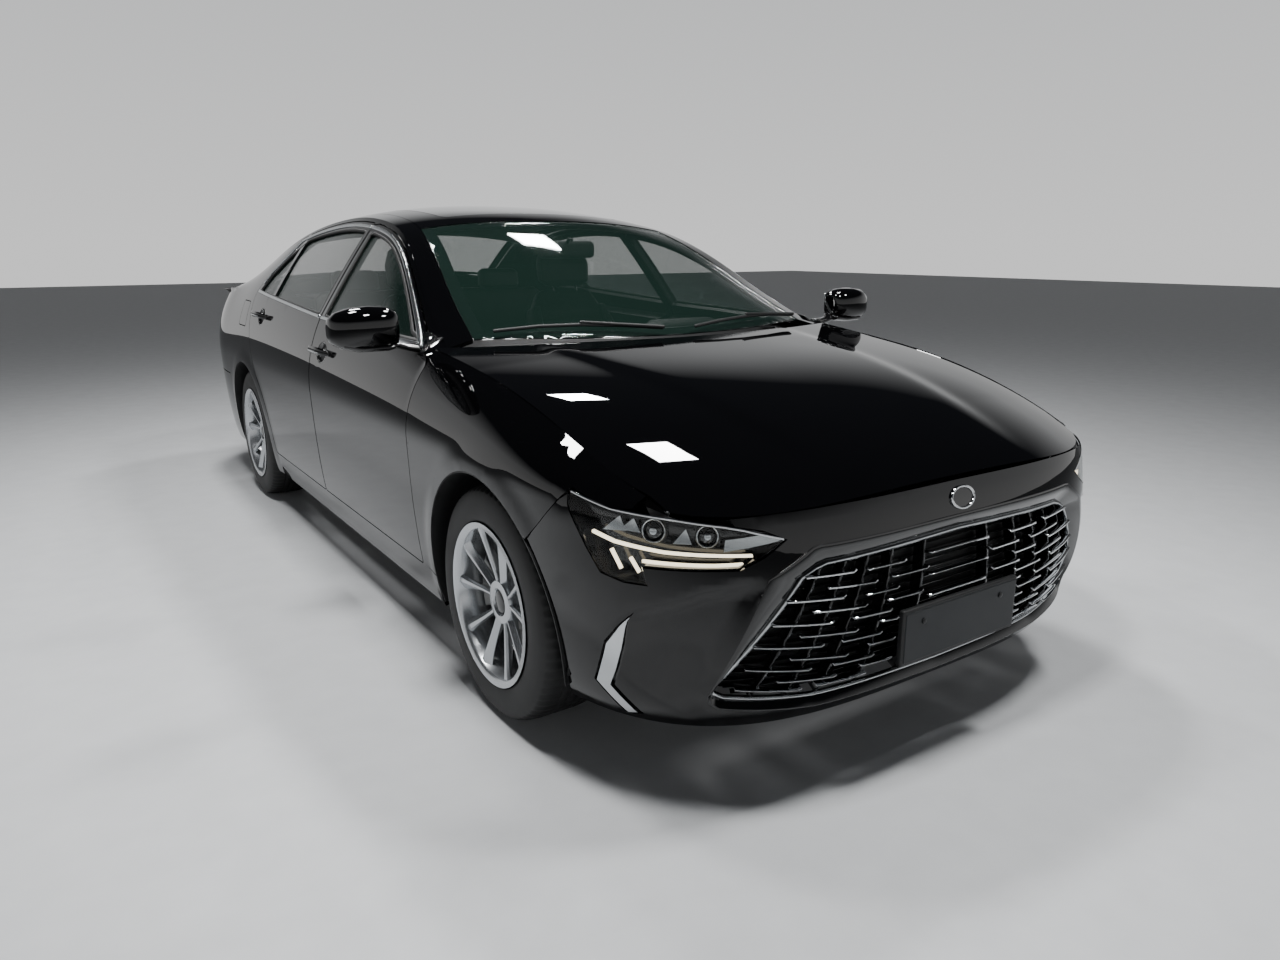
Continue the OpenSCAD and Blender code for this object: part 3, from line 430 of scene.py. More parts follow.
@dataclass(frozen=True)
class Finish:
    """A plain finish: what the material is and how its surface was made."""

    name: str
    colour: str
    metallic: float = 0.0
    roughness: float = 0.4
    coat: float = 0.0
    coat_roughness: float = 0.03
    ior: float = 1.5
    transmission: float = 0.0
    alpha: float = 1.0
    specular: float = 0.5
    glow: float = 0.0
    grain_mm: float = 0.0
    grain: float = 0.0

    def material(self) -> bpy.types.Material:
        """The finish as a Blender material, made once."""
        found = bpy.data.materials.get(self.name)
        if found:
            return found
        mat = bpy.data.materials.new(self.name)
        mat.use_nodes = True
        tree = mat.node_tree
        tree.nodes.clear()
        shader = add_node(tree, "ShaderNodeBsdfPrincipled", {
            "Base Color": linear(self.colour), "Metallic": self.metallic, "Roughness": self.roughness,
            "Coat Weight": self.coat, "Coat Roughness": self.coat_roughness, "IOR": self.ior,
            "Transmission Weight": self.transmission, "Alpha": self.alpha,
            "Specular IOR Level": self.specular})
        if self.glow:
            shader.inputs["Emission Color"].default_value = linear(self.colour)
            shader.inputs["Emission Strength"].default_value = self.glow
        place = add_node(tree, "ShaderNodeTexCoord")
        if not self.transmission:
            patch = add_node(tree, "ShaderNodeTexNoise", {"Scale": 9.0, "Detail": 4.0},
                             {"Vector": place.outputs["Object"]})
            rough = add_node(tree, "ShaderNodeMapRange", {"To Min": self.roughness * 0.88,
                             "To Max": self.roughness * 1.12}, {"Value": patch.outputs["Fac"]})
            tree.links.new(rough.outputs["Result"], shader.inputs["Roughness"])
            tone = add_node(tree, "ShaderNodeMixRGB", {"Color1": linear(self.colour), "Color2": tuple(
                c * 0.86 for c in linear(self.colour)[:3]) + (1.0,)}, {"Fac": patch.outputs["Fac"]})
            tree.links.new(tone.outputs["Color"], shader.inputs["Base Color"])
        if self.grain:
            noise = add_node(tree, "ShaderNodeTexNoise", {"Scale": 1000 / self.grain_mm, "Detail": 3.0},
                             {"Vector": place.outputs["Object"]})
            bump = add_node(tree, "ShaderNodeBump", {"Strength": self.grain, "Distance": 0.0004},
                            {"Height": noise.outputs["Fac"]})
            tree.links.new(bump.outputs["Normal"], shader.inputs["Normal"])
        out = add_node(tree, "ShaderNodeOutputMaterial")
        tree.links.new(shader.outputs[0], out.inputs["Surface"])
        return mat


PAINT = Finish("black_lacquer", "040405", roughness=0.35, coat=1.0, coat_roughness=0.012, specular=0.0)
GLASS = Finish("tinted_window", "1c2f29", roughness=0.01, alpha=0.32, coat=1.0)
PRIVACY = Finish("dark_window", "0a0c0c", roughness=0.02, coat=1.0)
SATIN = Finish("satin_chrome", "c9ccce", metallic=1.0, roughness=0.22)
CHROME = Finish("polished_chrome", "e8eaec", metallic=1.0, roughness=0.06)
BLACK_GLOSS = Finish("gloss_black_plastic", "0a0a0b", roughness=0.12, coat=0.5)
BLACK_GRAIN = Finish("grained_black_plastic", "101112", roughness=0.5, grain_mm=1.2, grain=0.35)
RUBBER = Finish("black_rubber", "121212", roughness=0.62, grain_mm=2.0, grain=0.2)
SILVER = Finish("silver_wheel_paint", "c4c7ca", metallic=0.85, roughness=0.24, coat=0.4)
IRON = Finish("machined_iron", "8a8a88", metallic=0.9, roughness=0.35)
CLEAR = Finish("clear_lens", "f4f6f6", roughness=0.0, transmission=1.0, ior=1.2)
LIGHT = Finish("warm_light_guide", "fff0d2", roughness=0.3, glow=2.6)
RED_LENS = Finish("red_lens", "7a0508", roughness=0.05, coat=1.0)
PLATE = Finish("dark_plate_sheet", "1c1f22", roughness=0.45, metallic=0.3)
LEATHER = Finish("black_leather", "1a1917", roughness=0.45, grain_mm=2.5, grain=0.5)
TRIM = Finish("soft_dashboard_skin", "151617", roughness=0.55, grain_mm=1.5, grain=0.3)
STEEL = Finish("dark_underbody_steel", "1a1b1c", metallic=0.6, roughness=0.5)


def dress(obj: bpy.types.Object, finish: Finish, body: str, slot: str, *nodes: str) -> bpy.types.Object:
    """Gives a piece its finish and its body, and hides the CAD nodes it stands for."""
    obj.data.materials.clear()
    obj.data.materials.append(finish.material())
    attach(obj, body)
    if nodes:
        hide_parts(*nodes)
    LOG.info("%s: %d faces on %s", obj.name, len(obj.data.polygons), body)
    return obj


# ------------------------------------------------------------------ outlines of the body


def rail_points(ys: Sequence[float], drop: float) -> list:
    """Side view points a drop under the roof rail."""
    return [(y, float(FORM.rail_z(y)) - drop) for y in ys]


def front_door_loop() -> np.ndarray:
    """Side view outline of a front door."""
    rail = rail_points(np.linspace(20, -1000, 14), 16)
    return rounded([(-1046, 300, 14), (30, 300, 12), (30, 700), (36, 990), (82, rail[0][1] - 2, 6), *rail,
                    (-1064, 930, 10), (-1054, 820), (-1046, 700), (-1042, 500)])


def rear_door_loop() -> np.ndarray:
    """Side view outline of a rear door."""
    arch = [(1290 - 424 * math.cos(a), 328 + 424 * math.sin(a)) for a in np.radians(np.linspace(6, 52, 9))]
    rail = rail_points(np.linspace(1040, 140, 12), 16)
    return rounded([(36, 300, 12), (862, 300, 20), *arch, (1108, 800, 60), (1160, 920), (1192, 1020, 30),
                    (1178, 1110), (1120, 1200), *rail, (86, rail[-1][1] - 4, 6), (42, 990), (36, 700)])


def front_glass_loop() -> np.ndarray:
    """Side view outline of a front door's window."""
    rail = rail_points(np.linspace(10, -830, 12), 52)
    return rounded([(-6, 1008, 6), (18, 1180), (42, rail[0][1] - 4, 8), *rail, (-915, 988, 10)])


def rear_glass_loop() -> np.ndarray:
    """Side view outline of a rear door's window with its quarter light."""
    rail = rail_points(np.linspace(880, 160, 10), 52)
    return rounded([(74, 1012, 6), (1128, 1058, 14), (1102, 1130), (1010, 1225, 60), *rail,
                    (118, rail[-1][1] - 4, 8), (98, 1180)])


@dataclass
class End:
    """The rounded nose or tail, addressed by distance round from the middle and by height."""

    half: Callable
    tip: Line
    start: float
    power: float
    reach: float
    hollow: float = 0.0

    def __post_init__(self) -> None:
        """Measures the distance round, dense near the middle."""
        self.turn = np.linspace(0, 1, 3000) ** 3 * math.pi / 2
        x = 920 * np.sin(self.turn) ** (2 / self.power)
        y = self.reach * np.cos(self.turn) ** (2 / self.power)
        self.along = np.concatenate([[0], np.cumsum(np.hypot(np.diff(x), np.diff(y)))])

    def __call__(self, p: np.ndarray) -> np.ndarray:
        """Points on the end for rows of (distance round, height)."""
        a, z = np.interp(np.abs(p[:, 0]), self.along, self.turn), p[:, 1]
        x = self.half(z) * np.sin(a) ** (2 / self.power) * np.sign(p[:, 0])
        y = self.start + (self.tip(z) - self.start) * np.cos(a) ** (2 / self.power)
        if self.hollow:
            y = y + self.hollow * self.pocket(np.abs(x), z)
        return np.stack([x, y, z], 1)

    def pocket(self, x: np.ndarray, z: np.ndarray) -> np.ndarray:
        """Depth share of the pocket beside the grille, between a sharp crease above and one below."""
        upper = np.interp(x, (560, 598, 718, 825, 860), (590, 578, 553, 495, 450))
        lower = np.interp(x, (640, 685, 822, 860), (190, 198, 316, 380))
        inner = np.interp(z, (200, 296, 577), (668, 712, 606))
        down, up = np.clip((upper - z) / 26, 0, 1), np.clip((z - lower) / 120, 0, 1)
        out, back = np.clip((x - inner) / 30, 0, 1), np.clip((862 - x) / 60, 0, 1)
        share = down * up * out * back
        return share * (2 - share)

    def across(self, *points: tuple) -> np.ndarray:
        """Turns (x, z) points into (distance round, height)."""
        x, z = np.array(points, float).T
        u = np.clip(np.abs(x) / self.half(z), 0, 1)
        turn = np.arcsin(u ** (self.power / 2))
        return np.stack([np.interp(turn, self.turn, self.along) * np.sign(x), z], 1)

    def beside(self, *points: tuple) -> np.ndarray:
        """Turns (y, z) points on the +X side into (distance round, height)."""
        y, z = np.array(points, float).T
        u = np.clip((y - self.start) / (self.tip(z) - self.start), 0, 1)
        turn = np.arccos(u ** (self.power / 2))
        return np.stack([np.interp(turn, self.turn, self.along), z], 1)


def tail_half(z: np.ndarray) -> np.ndarray:
    """Half width of the tail by height."""
    t = np.clip((z - FORM.wide_z) / (1026 - FORM.wide_z), 0, 1)
    return np.where(z < FORM.wide_z, FORM.side_low(z), FORM.widest - 93 * t**2.1)


NOSE = End(FORM.nose_half, FORM.nose_tip, FORM.nose_start, FORM.nose_power, 900, 17.0)
TAIL = End(tail_half, FORM.tail_tip, FORM.tail_start, FORM.tail_power, 700)
FORWARD, BACKWARD, UP = (0, -1, 0), (0, 1, 0), (0, 0, 1)


def mirrored(loop: np.ndarray) -> np.ndarray:
    """The outline on the other side, running the same way round."""
    return (np.asarray(loop) * [-1, 1])[::-1]


# ------------------------------------------------------------------ making pieces


def grid_object(name: str, grid: np.ndarray, wrap: tuple = (True, True), caps: bool = False,
                edge: float = 0, angle: float = 40) -> bpy.types.Object:
    """Solid from rings of points.

    Args:
        name: name of the piece.
        grid: rings x points x 3, in millimetres.
        wrap: whether the rings close on themselves, and whether each ring is closed.
        caps: close the first and last ring with a face.
        edge: radius of its edges in millimetres.
        angle: edges sharper than this are rounded.

    Returns:
        The finished object.
    """
    n, m = grid.shape[:2]
    faces = [(i * m + j, i * m + (j + 1) % m, (i + 1) % n * m + (j + 1) % m, (i + 1) % n * m + j)
             for i in range(n if wrap[0] else n - 1) for j in range(m if wrap[1] else m - 1)]
    if caps:
        faces += [tuple(range(m)), tuple((n - 1) * m + j for j in range(m))]
    obj = new_object(name, grid.reshape(-1, 3) * 0.001, faces)
    pick(obj)
    bpy.ops.object.mode_set(mode="EDIT")
    bpy.ops.mesh.select_all(action="SELECT")
    bpy.ops.mesh.remove_doubles(threshold=0.00001)
    bpy.ops.mesh.normals_make_consistent(inside=False)
    bpy.ops.object.mode_set(mode="OBJECT")
    return soften(obj, edge, 2, angle)


def moulding(name: str, path: np.ndarray, surface: Surface, outward: Points, section: Points,
             closed: bool = True, step: float = 22) -> bpy.types.Object:
    """A strip of one cross-section along a path on a surface.

    Args:
        name: name of the piece.
        path: its path in the surface's two coordinates.
        surface: what it lies on.
        outward: rough outward direction.
        section: (sideways, depth) corners of its cross-section; sideways is inwards on a loop.
        closed: whether the path is a closed loop.
        step: longest segment along it.

    Returns:
        The finished object.
    """
    path = resample(np.asarray(path, float), step) if closed else spaced(path, step)
    rings = []
    for side, depth in section:
        if closed:
            lane = offset_loop(path, side)
        else:
            run = np.gradient(path, axis=0)
            run /= np.linalg.norm(run, axis=1, keepdims=True)
            lane = path + np.stack([-run[:, 1], run[:, 0]], 1) * side
        base, normal, _ = on_surface(surface, lane, outward)
        rings.append(base - normal * depth)
    return grid_object(name, np.stack(rings, 1), (closed, True), not closed)


def spaced(path: Points, step: float) -> np.ndarray:
    """An open path with no segment longer than step."""
    path = np.asarray(path, float)
    out = []
    for a, b in zip(path[:-1], path[1:]):
        n = max(1, int(math.ceil(np.linalg.norm(b - a) / step)))
        out += [a + (b - a) * i / n for i in range(n)]
    return np.array(out + [path[-1]])


def flare(name: str, outer: np.ndarray, inner: np.ndarray, surface: Surface, outward: Points,
          depths: tuple, thick: float = 4) -> bpy.types.Object:
    """A frame that falls away from an outer outline to an inner one with as many corners.

    Args:
        name: name of the piece.
        outer: outer outline.
        inner: inner outline, corner for corner.
        surface: what it lies on.
        outward: rough outward direction.
        depths: depth under the surface at the outer and the inner outline.
        thick: thickness of the frame.

    Returns:
        The finished object.
    """
    loops = [[], []]
    for i in range(len(outer)):
        j = (i + 1) % len(outer)
        n = max(1, int(math.ceil(np.linalg.norm(outer[j] - outer[i]) / 22)))
        for loop, out in zip((outer, inner), loops):
            out += [loop[i] + (loop[j] - loop[i]) * k / n for k in range(n)]
    a, b = (np.array(loop) for loop in loops)
    rings = []
    for loop, depth in ((a, depths[0] + thick), (a, depths[0]), (a + (b - a) * 0.35, depths[0] * 0.9),
                        (b, depths[1]), (b, depths[1] + thick)):
        base, normal, _ = on_surface(surface, loop, outward)
        rings.append(base - normal * depth)
    return grid_object(name, np.stack(rings, 1), (True, True))


def turned(name: str, profile: Points, centre: Points, axis: Points, steps: int = 64,
           edge: float = 0) -> bpy.types.Object:
    """A turned piece: the profile spun round an axis.

    Args:
        name: name of the piece.
        profile: closed (radius, along the axis) corners in millimetres.
        centre: where the axis starts.
        axis: direction of the axis.
        steps: segments round it.
        edge: radius of its edges.

    Returns:
        The finished object.
    """
    w = np.asarray(axis, float) / np.linalg.norm(axis)
    u = np.cross(w, (0, 0, 1) if abs(w[2]) < 0.9 else (1, 0, 0))
    u /= np.linalg.norm(u)
    v = np.cross(w, u)
    turns = np.linspace(0, 2 * math.pi, steps, endpoint=False)
    grid = np.array([[np.asarray(centre) + w * d + (u * math.cos(t) + v * math.sin(t)) * r
                      for r, d in profile] for t in turns])
    return grid_object(name, grid, (True, True), False, edge)


def block(name: str, low: Points, high: Points, edge: float = 3, segments: int = 3) -> bpy.types.Object:
    """A box between two corners with rounded edges."""
    low, high = np.minimum(low, high), np.maximum(low, high)
    bpy.ops.mesh.primitive_cube_add(size=1, location=(0, 0, 0))
    obj = bpy.context.active_object
    obj.name = obj.data.name = name
    bpy.ops.object.mode_set(mode="EDIT")
    bpy.ops.mesh.select_all(action="SELECT")
    bpy.ops.transform.resize(value=tuple((high - low) * 0.001), center_override=(0, 0, 0))
    bpy.ops.transform.translate(value=tuple((high + low) * 0.0005))
    bpy.ops.object.mode_set(mode="OBJECT")
    return soften(obj, edge, segments)


def tube(name: str, points: Points, radius: float, closed: bool = False,
         sides: int = 5) -> bpy.types.Object:
    """A round bar along points in millimetres."""
    line = bpy.data.curves.new(name, "CURVE")
    line.dimensions, line.bevel_depth, line.bevel_resolution = "3D", radius * 0.001, sides
    line.use_fill_caps = not closed
    spline = line.splines.new("POLY")
    spline.points.add(len(points) - 1)
    for at, p in zip(spline.points, points):
        at.co = (*(float(c) * 0.001 for c in p), 1)
    spline.use_cyclic_u = closed
    obj = bpy.data.objects.new(name, line)
    bpy.context.scene.collection.objects.link(obj)
    pick(obj)
    bpy.ops.object.convert(target="MESH")
    return soften(obj, 0)


def joined(name: str, *parts: bpy.types.Object) -> bpy.types.Object:
    """Several meshes as one piece."""
    pick(parts[0])
    for part in parts[1:]:
        part.select_set(True)
    bpy.ops.object.join()
    parts[0].name = parts[0].data.name = name
    return parts[0]


def oval(y: float, z: float, ry: float, rz: float, steps: int = 24) -> np.ndarray:
    """An oval outline."""
    t = np.linspace(0, 2 * math.pi, steps, endpoint=False)
    return np.stack([y + ry * np.cos(t), z + rz * np.sin(t)], 1)


def pad_rings(stations: Sequence[tuple], axis: int, power: float = 3.5, steps: int = 28) -> np.ndarray:
    """Rings of a rounded pad.

    Args:
        stations: (position along the axis, centre a, centre b, half a, half b).
        axis: 0 for rings along X, 1 along Y, 2 along Z.
        power: squareness of each ring.
        steps: points round a ring.

    Returns:
        Rings of points in millimetres.
    """
    t = np.linspace(0, 2 * math.pi, steps, endpoint=False)
    c, s = np.cos(t), np.sin(t)
    ca, sa = np.sign(c) * np.abs(c) ** (2 / power), np.sign(s) * np.abs(s) ** (2 / power)
    others = [i for i in range(3) if i != axis]
    rings = []
    for at, a, b, ha, hb in stations:
        ring = np.zeros((steps, 3))
        ring[:, axis], ring[:, others[0]], ring[:, others[1]] = at, a + ha * ca, b + hb * sa
        rings.append(ring)
    return np.array(rings)


# ------------------------------------------------------------------ doors


STRIP = ((-6, 3), (-6, -3), (-4, -5), (4, -5), (6, -3), (6, 3))
SEAL = ((-5, 7), (-5, -1), (-2, -2.5), (4, -1), (4, 7))
HALF_GAP = 2.2


@dataclass
class Doors:
    """Four doors: skins, windows, mouldings, handles, mirrors and inner trims."""

    inset: float = 30.0
    strip_drop: float = 33.0

    def build(self) -> None:
        """Builds all four doors."""
        for hand in Hand:
            self.front(hand)
            self.rear(hand)
            self.mirror(hand)

    def common(self, hand: Hand, place: str, loop: np.ndarray, glass: np.ndarray, handle: tuple,
               trims: Sequence[tuple], mask: np.ndarray) -> str:
        """Skin, inner panel, glass, seal, handle and mouldings of one door.

        Args:
            hand: side of the car.
            place: front or rear.
            loop: outline of the whole door.
            glass: outline of its window.
            handle: (y, z) of the middle of its handle.
            trims: (name, path) of its bright mouldings.
            mask: outline of its black pillar cover.

        Returns:
            The name of the door's body.
        """
        side = hand.name.lower()
        body = f"door_{place[0]}{side[0]}"
        surface, out = side_surface(hand), (hand.value, 0, 0.1)
        cup = oval(*handle, 62, 40)
        panel = skin(f"door_skin_{place}_{side}", offset_loop(loop, HALF_GAP), surface, out, (0, 11), 19,
                     (glass, cup))
        dress(panel, PAINT, body, "paint", f"door_{place}_{side}")
        low = rounded([p for p in offset_loop(resample(loop, 40), self.inset) if p[1] < 985])
        inner = skin(f"door_trim_{place}_{side}", low, surface, out, (11.5, 92), 40, edge=8)
        dress(inner, TRIM, body, "black_plastic")
        top = skin(f"window_frame_{place}_{side}", offset_loop(loop, 17), surface, out, (11.2, 32), 30,
                   (offset_loop(glass, -1),), edge=3)
        dress(top, BLACK_GRAIN, body, "black_plastic")
        pane = skin(f"window_{place}_{side}", offset_loop(glass, -3), surface, out, (7, 11), 40, edge=0)
        dress(pane, GLASS, body, "glass", f"glass_{place}_{side}")
        seal = moulding(f"window_seal_{place}_{side}", glass, surface, out, SEAL)
        dress(seal, RUBBER, body, "black_plastic")
        cover = skin(f"pillar_cover_{place}_{side}", mask, surface, out, (-1.2, 3), 30, edge=1)
        dress(cover, BLACK_GLOSS, body, "black_plastic")
        for name, path in trims:
            strip = moulding(f"{name}_{place}_{side}", spaced(path, 20), surface, out, STRIP, False)
            dress(strip, SATIN, body, "alloy")
        self.handle(hand, body, place, handle, cup)
        return body

    def handle(self, hand: Hand, body: str, place: str, at: tuple, cup: np.ndarray) -> None:
        """A pull handle over its cup."""
        surface, out, side = side_surface(hand), (hand.value, 0, 0.1), hand.name.lower()
        bowl = flare(f"handle_cup_{place}_{side}", cup, oval(*at, 44, 26), surface, out, (0.5, 22))
        back = skin(f"handle_cup_back_{place}_{side}", oval(*at, 47, 29), surface, out, (21, 25), 20,
                    edge=0)
        dress(joined(f"handle_cup_{place}_{side}", bowl, back), BLACK_GLOSS, body, "paint")
        y, z = at
        rings = []
        for t in np.linspace(-1, 1, 21):
            stand = 4 + 30 * (1 - t**4)
            base, normal, _ = on_surface(surface, np.array([[y + 98 * t, z + 3]]), out)
            fat = 0.55 + 0.45 * math.sqrt(max(1 - t**8, 0))
            turn = np.linspace(0, 2 * math.pi, 16, endpoint=False)
            rings.append([base[0] + normal[0] * (stand + 7 * fat * math.cos(a)) +
                          np.array([0, 0, 14 * fat * math.sin(a)]) for a in turn])
        bar = grid_object(f"handle_{place}_{side}", np.array(rings), (False, True), True, 2)
        dress(bar, PAINT, body, "paint")
        line = [on_surface(surface, np.array([[y + 80 * t, z - 2]]), out) for t in np.linspace(-1, 1, 15)]
        line = [b[0] + n[0] * (11.5 + 30 * (1 - t**4)) for (b, n, _),
                t in zip(line, np.linspace(-1, 1, 15))]
        dress(tube(f"handle_strip_{place}_{side}", line, 2.4), CHROME, body, "alloy")

    def front(self, hand: Hand) -> None:
        """A front door."""
        glass = front_glass_loop()
        top = rail_points(np.linspace(70, -955, 40), self.strip_drop)
        mask = np.array([(-6, 1002), (28, 1000), (36, 1100), (70, float(FORM.rail_z(70)) - 44),
                         (46, float(FORM.rail_z(42)) - 48), (24, 1180), (-2, 1030)])
        self.common(hand, "front", front_door_loop(), glass, (-108, 878),
                    (("roof_strip", top[::-1]),
                     ("belt_strip", [(-930, 976), (-600, 986), (-200, 994), (26, 1000)])), mask)

    def rear(self, hand: Hand) -> None:
        """A rear door with its quarter light."""
        side = hand.name.lower()
        surface, out = side_surface(hand), (hand.value, 0, 0.1)
        top = rail_points(np.linspace(1000, 92, 36), self.strip_drop)
        mask = np.array([(44, 1000), (80, 1004), (104, 1180), (124, float(FORM.rail_z(122)) - 48),
                         (92, float(FORM.rail_z(90)) - 44), (56, 1100)])
        body = self.common(hand, "rear", rear_door_loop(), rear_glass_loop(), (928, 948),
                           (("roof_strip", [(1150, 1092), (1122, 1160), (1062, 1222), *top]),
                            ("belt_strip", [(48, 1001), (400, 1018), (800, 1038), (1150, 1056)])), mask)
        bar = skin(f"quarter_divider_{side}",
                   np.array([(812, 1034), (846, 1036), (962, 1318), (928, 1330)]),
                   surface, out, (-1, 12), 30, edge=2)
        dress(bar, BLACK_GLOSS, body, "black_plastic")

    def mirror(self, hand: Hand) -> None:
        """A door mirror on its arm."""
        s, side = hand.value, hand.name.lower()
        body = f"door_f{side[0]}"
        stations = [(915, -978, 1036, 26, 34), (925, -984, 1040, 52, 52), (960, -990, 1042, 66, 62),
                    (1010, -990, 1042, 68, 64), (1060, -985, 1040, 62, 60), (1095, -974, 1037, 48, 50),
                    (1112, -964, 1035, 30, 34), (1116, -958, 1034, 14, 18)]
        rings = pad_rings(stations, 0, 2.6, 32)
        rings[:, :, 1] += np.maximum(rings[:, :, 1] + 945, 0) * -0.75
        rings[:, :, 0] *= s
        shell = grid_object(f"mirror_shell_{side}", rings, (False, True), True, 3, 50)
        dress(shell, PAINT, body, "paint", f"mirror_{side}")
        lower = pad_rings([(920, -985, 990, 40, 12), (960, -990, 984, 56, 12), (1040, -984, 984, 52, 12),
                           (1085, -976, 992, 36, 10)], 0, 2.4, 24)
        lower[:, :, 0] *= s
        dress(grid_object(f"mirror_base_{side}", lower, (False, True), True, 2, 50), BLACK_GLOSS, body,
              "black_plastic")
        glass = block(f"mirror_glass_{side}", (s * 932, -940, 1000), (s * 1092, -934, 1082), 2)
        dress(glass, CHROME, body, "glass")
        arm = grid_object(f"mirror_arm_{side}",
                          pad_rings([(852, -968, 970, 34, 16), (885, -975, 976, 26, 11),
                          (930, -982, 990, 22, 11)], 0, 2.5, 20) * [s, 1, 1], (False, True), True, 2, 50)
        dress(arm, BLACK_GLOSS, body, "black_plastic")
        corner = np.array([(-1010, 962), (-880, 984), (-905, 1010), (-985, 1000)])
        plate = skin(f"mirror_corner_{side}", corner, side_surface(hand), (s, 0, 0.1), (-2, 4), 30, edge=1)
        dress(plate, BLACK_GLOSS, body, "black_plastic")


# ------------------------------------------------------------------ painted body


@dataclass
class Shell:
    """Fixed skins, hood and boot lid."""

    arch_r: float = 373.0
    lid_half: float = 600.0

    def build(self) -> None:
        """Builds every painted skin outside the doors."""
        for hand in Hand:
            self.side(hand)
            self.fender(hand)
            self.arch_lips(hand)
            self.wheelhouse(hand)
            self.tail_corner(hand)
        self.hood()
        self.top()
        self.nose()
        self.boot()
        self.rear_bumper()

    def arch(self, axle: float, start: float, end: float, grow: float = 0) -> list:
        """Points along a wheel arch between two angles from the tail direction."""
        return [(axle + (self.arch_r + grow) * math.cos(a),
                 FORM.axle_z + (self.arch_r + grow) * math.sin(a))
                for a in np.radians(np.linspace(start, end, 44))]

    def side(self, hand: Hand) -> None:
        """Rocker, roof rail, rear pillar and quarter panel of one side, in one skin."""
        side = hand.name.lower()
        surface, out = side_surface(hand), (hand.value, 0, 0.1)
        rail = rail_points(np.linspace(1850, -1035, 40), 0)
        loop = rounded([(-1168, 192), (942, 192, 10), *self.arch(FORM.rear_axle, 200, -20), (1642, 200),
                        (1700, 200),
                        (1700, 598), (2116, 598), (2116, 1028), (1990, 1034), (1850, 1045), *rail,
                        (-1040, 955),
                        (-1075, 900), (-1075, 300), (-1168, 296)])
        flap = rounded([(1235, 880, 14), (1395, 880, 14), (1395, 1005, 14), (1240, 1005, 14)])
        holes = [offset_loop(front_door_loop(), -HALF_GAP), offset_loop(rear_door_loop(), -HALF_GAP)]
        if hand is Hand.RIGHT:
            holes.append(flap)
            lid = skin("fuel_flap_skin", offset_loop(flap, 2 * HALF_GAP), surface, out, (0, 6), 20,
                       edge=1.5)
            dress(lid, PAINT, "flap", "paint", "fuel_flap")
            pocket = flare("fuel_pocket", offset_loop(flap, -4), offset_loop(flap, 16), surface, out,
                           (9, 48))
            back = skin("fuel_pocket_back", offset_loop(flap, 10), surface, out, (44, 48), 40, edge=0)
            dress(joined("fuel_pocket", pocket, back), BLACK_GRAIN, "car_body", "black_plastic")
            mid, normal, _ = on_surface(surface, np.array([[1315.0, 942.0]]), out)
            cap = turned("fuel_cap", [(0, 0), (0, 18), (26, 18), (32, 12), (32, 0)],
                         mid[0] - normal[0] * 46,
                         normal[0], 32, 2)
            dress(cap, BLACK_GRAIN, "car_body", "black_plastic")
        body = skin(f"body_skin_{side}", loop, surface, out, (0, 14), 21, holes)
        dress(body, PAINT, "car_body", "paint", f"body_side_{side}")

    def fender(self, hand: Hand) -> None:
        """A front fender."""
        crest = [(y, float(FORM.edge_z(y)) - 1) for y in np.linspace(-1056, -2116, 34)]
        loop = rounded([(-1168, 300), (-1049, 300, 6), (-1045, 500), (-1049, 700), (-1057, 820),
                        (-1066, 930),
                        *crest, (-2118, 728), (-2080, 722), (-1966, 752), (-1957, 742), (-1808, 594),
                        *self.arch(FORM.front_axle, 134, -2)])
        piece = skin(f"fender_{hand.name.lower()}", loop, side_surface(hand), (hand.value, 0, 0.2), (0, 12),
                     19)
        dress(piece, PAINT, "car_body", "paint", *(["front_fenders"] if hand is Hand.LEFT else []))

    def arch_lips(self, hand: Hand) -> None:
        """Return flanges round the wheel openings, reaching back towards the liners behind them."""
        surface, out = side_surface(hand), (hand.value, 0, 0.1)
        for place, axle, a, b in (("front", FORM.front_axle, -18, 196), ("rear", FORM.rear_axle, -16, 200)):
            path = spaced(self.arch(axle, a, b, 1), 24)
            lip = moulding(f"arch_flange_{place}_{hand.name.lower()}", path, surface, out,
                           ((0, 1), (5, 1), (5, 60), (0, 60)), False)
            dress(lip, BLACK_GRAIN, "car_body", "black_plastic")

    def wheelhouse(self, hand: Hand) -> None:
        """Inner wheel arches of one side."""
        for place, axle, a, b in (("front", FORM.front_axle, -14, 190), ("rear", FORM.rear_axle, -12, 192)):
            rings = []
            for t in np.radians(np.linspace(a, b, 40)):
                rings.append([(hand.value * x, axle + r * math.cos(t), FORM.axle_z + r * math.sin(t)) for x,
                              r in
                              ((872, 375), (560, 375), (560, 382), (872, 382))])
            piece = grid_object(f"wheelhouse_{place}_{hand.name.lower()}", np.array(rings), (False, True),
                                True)
            dress(piece, BLACK_GRAIN, "car_body", "black_plastic",
                  *(["wheel_liners"] if hand is Hand.LEFT and
                  place == "front" else []))

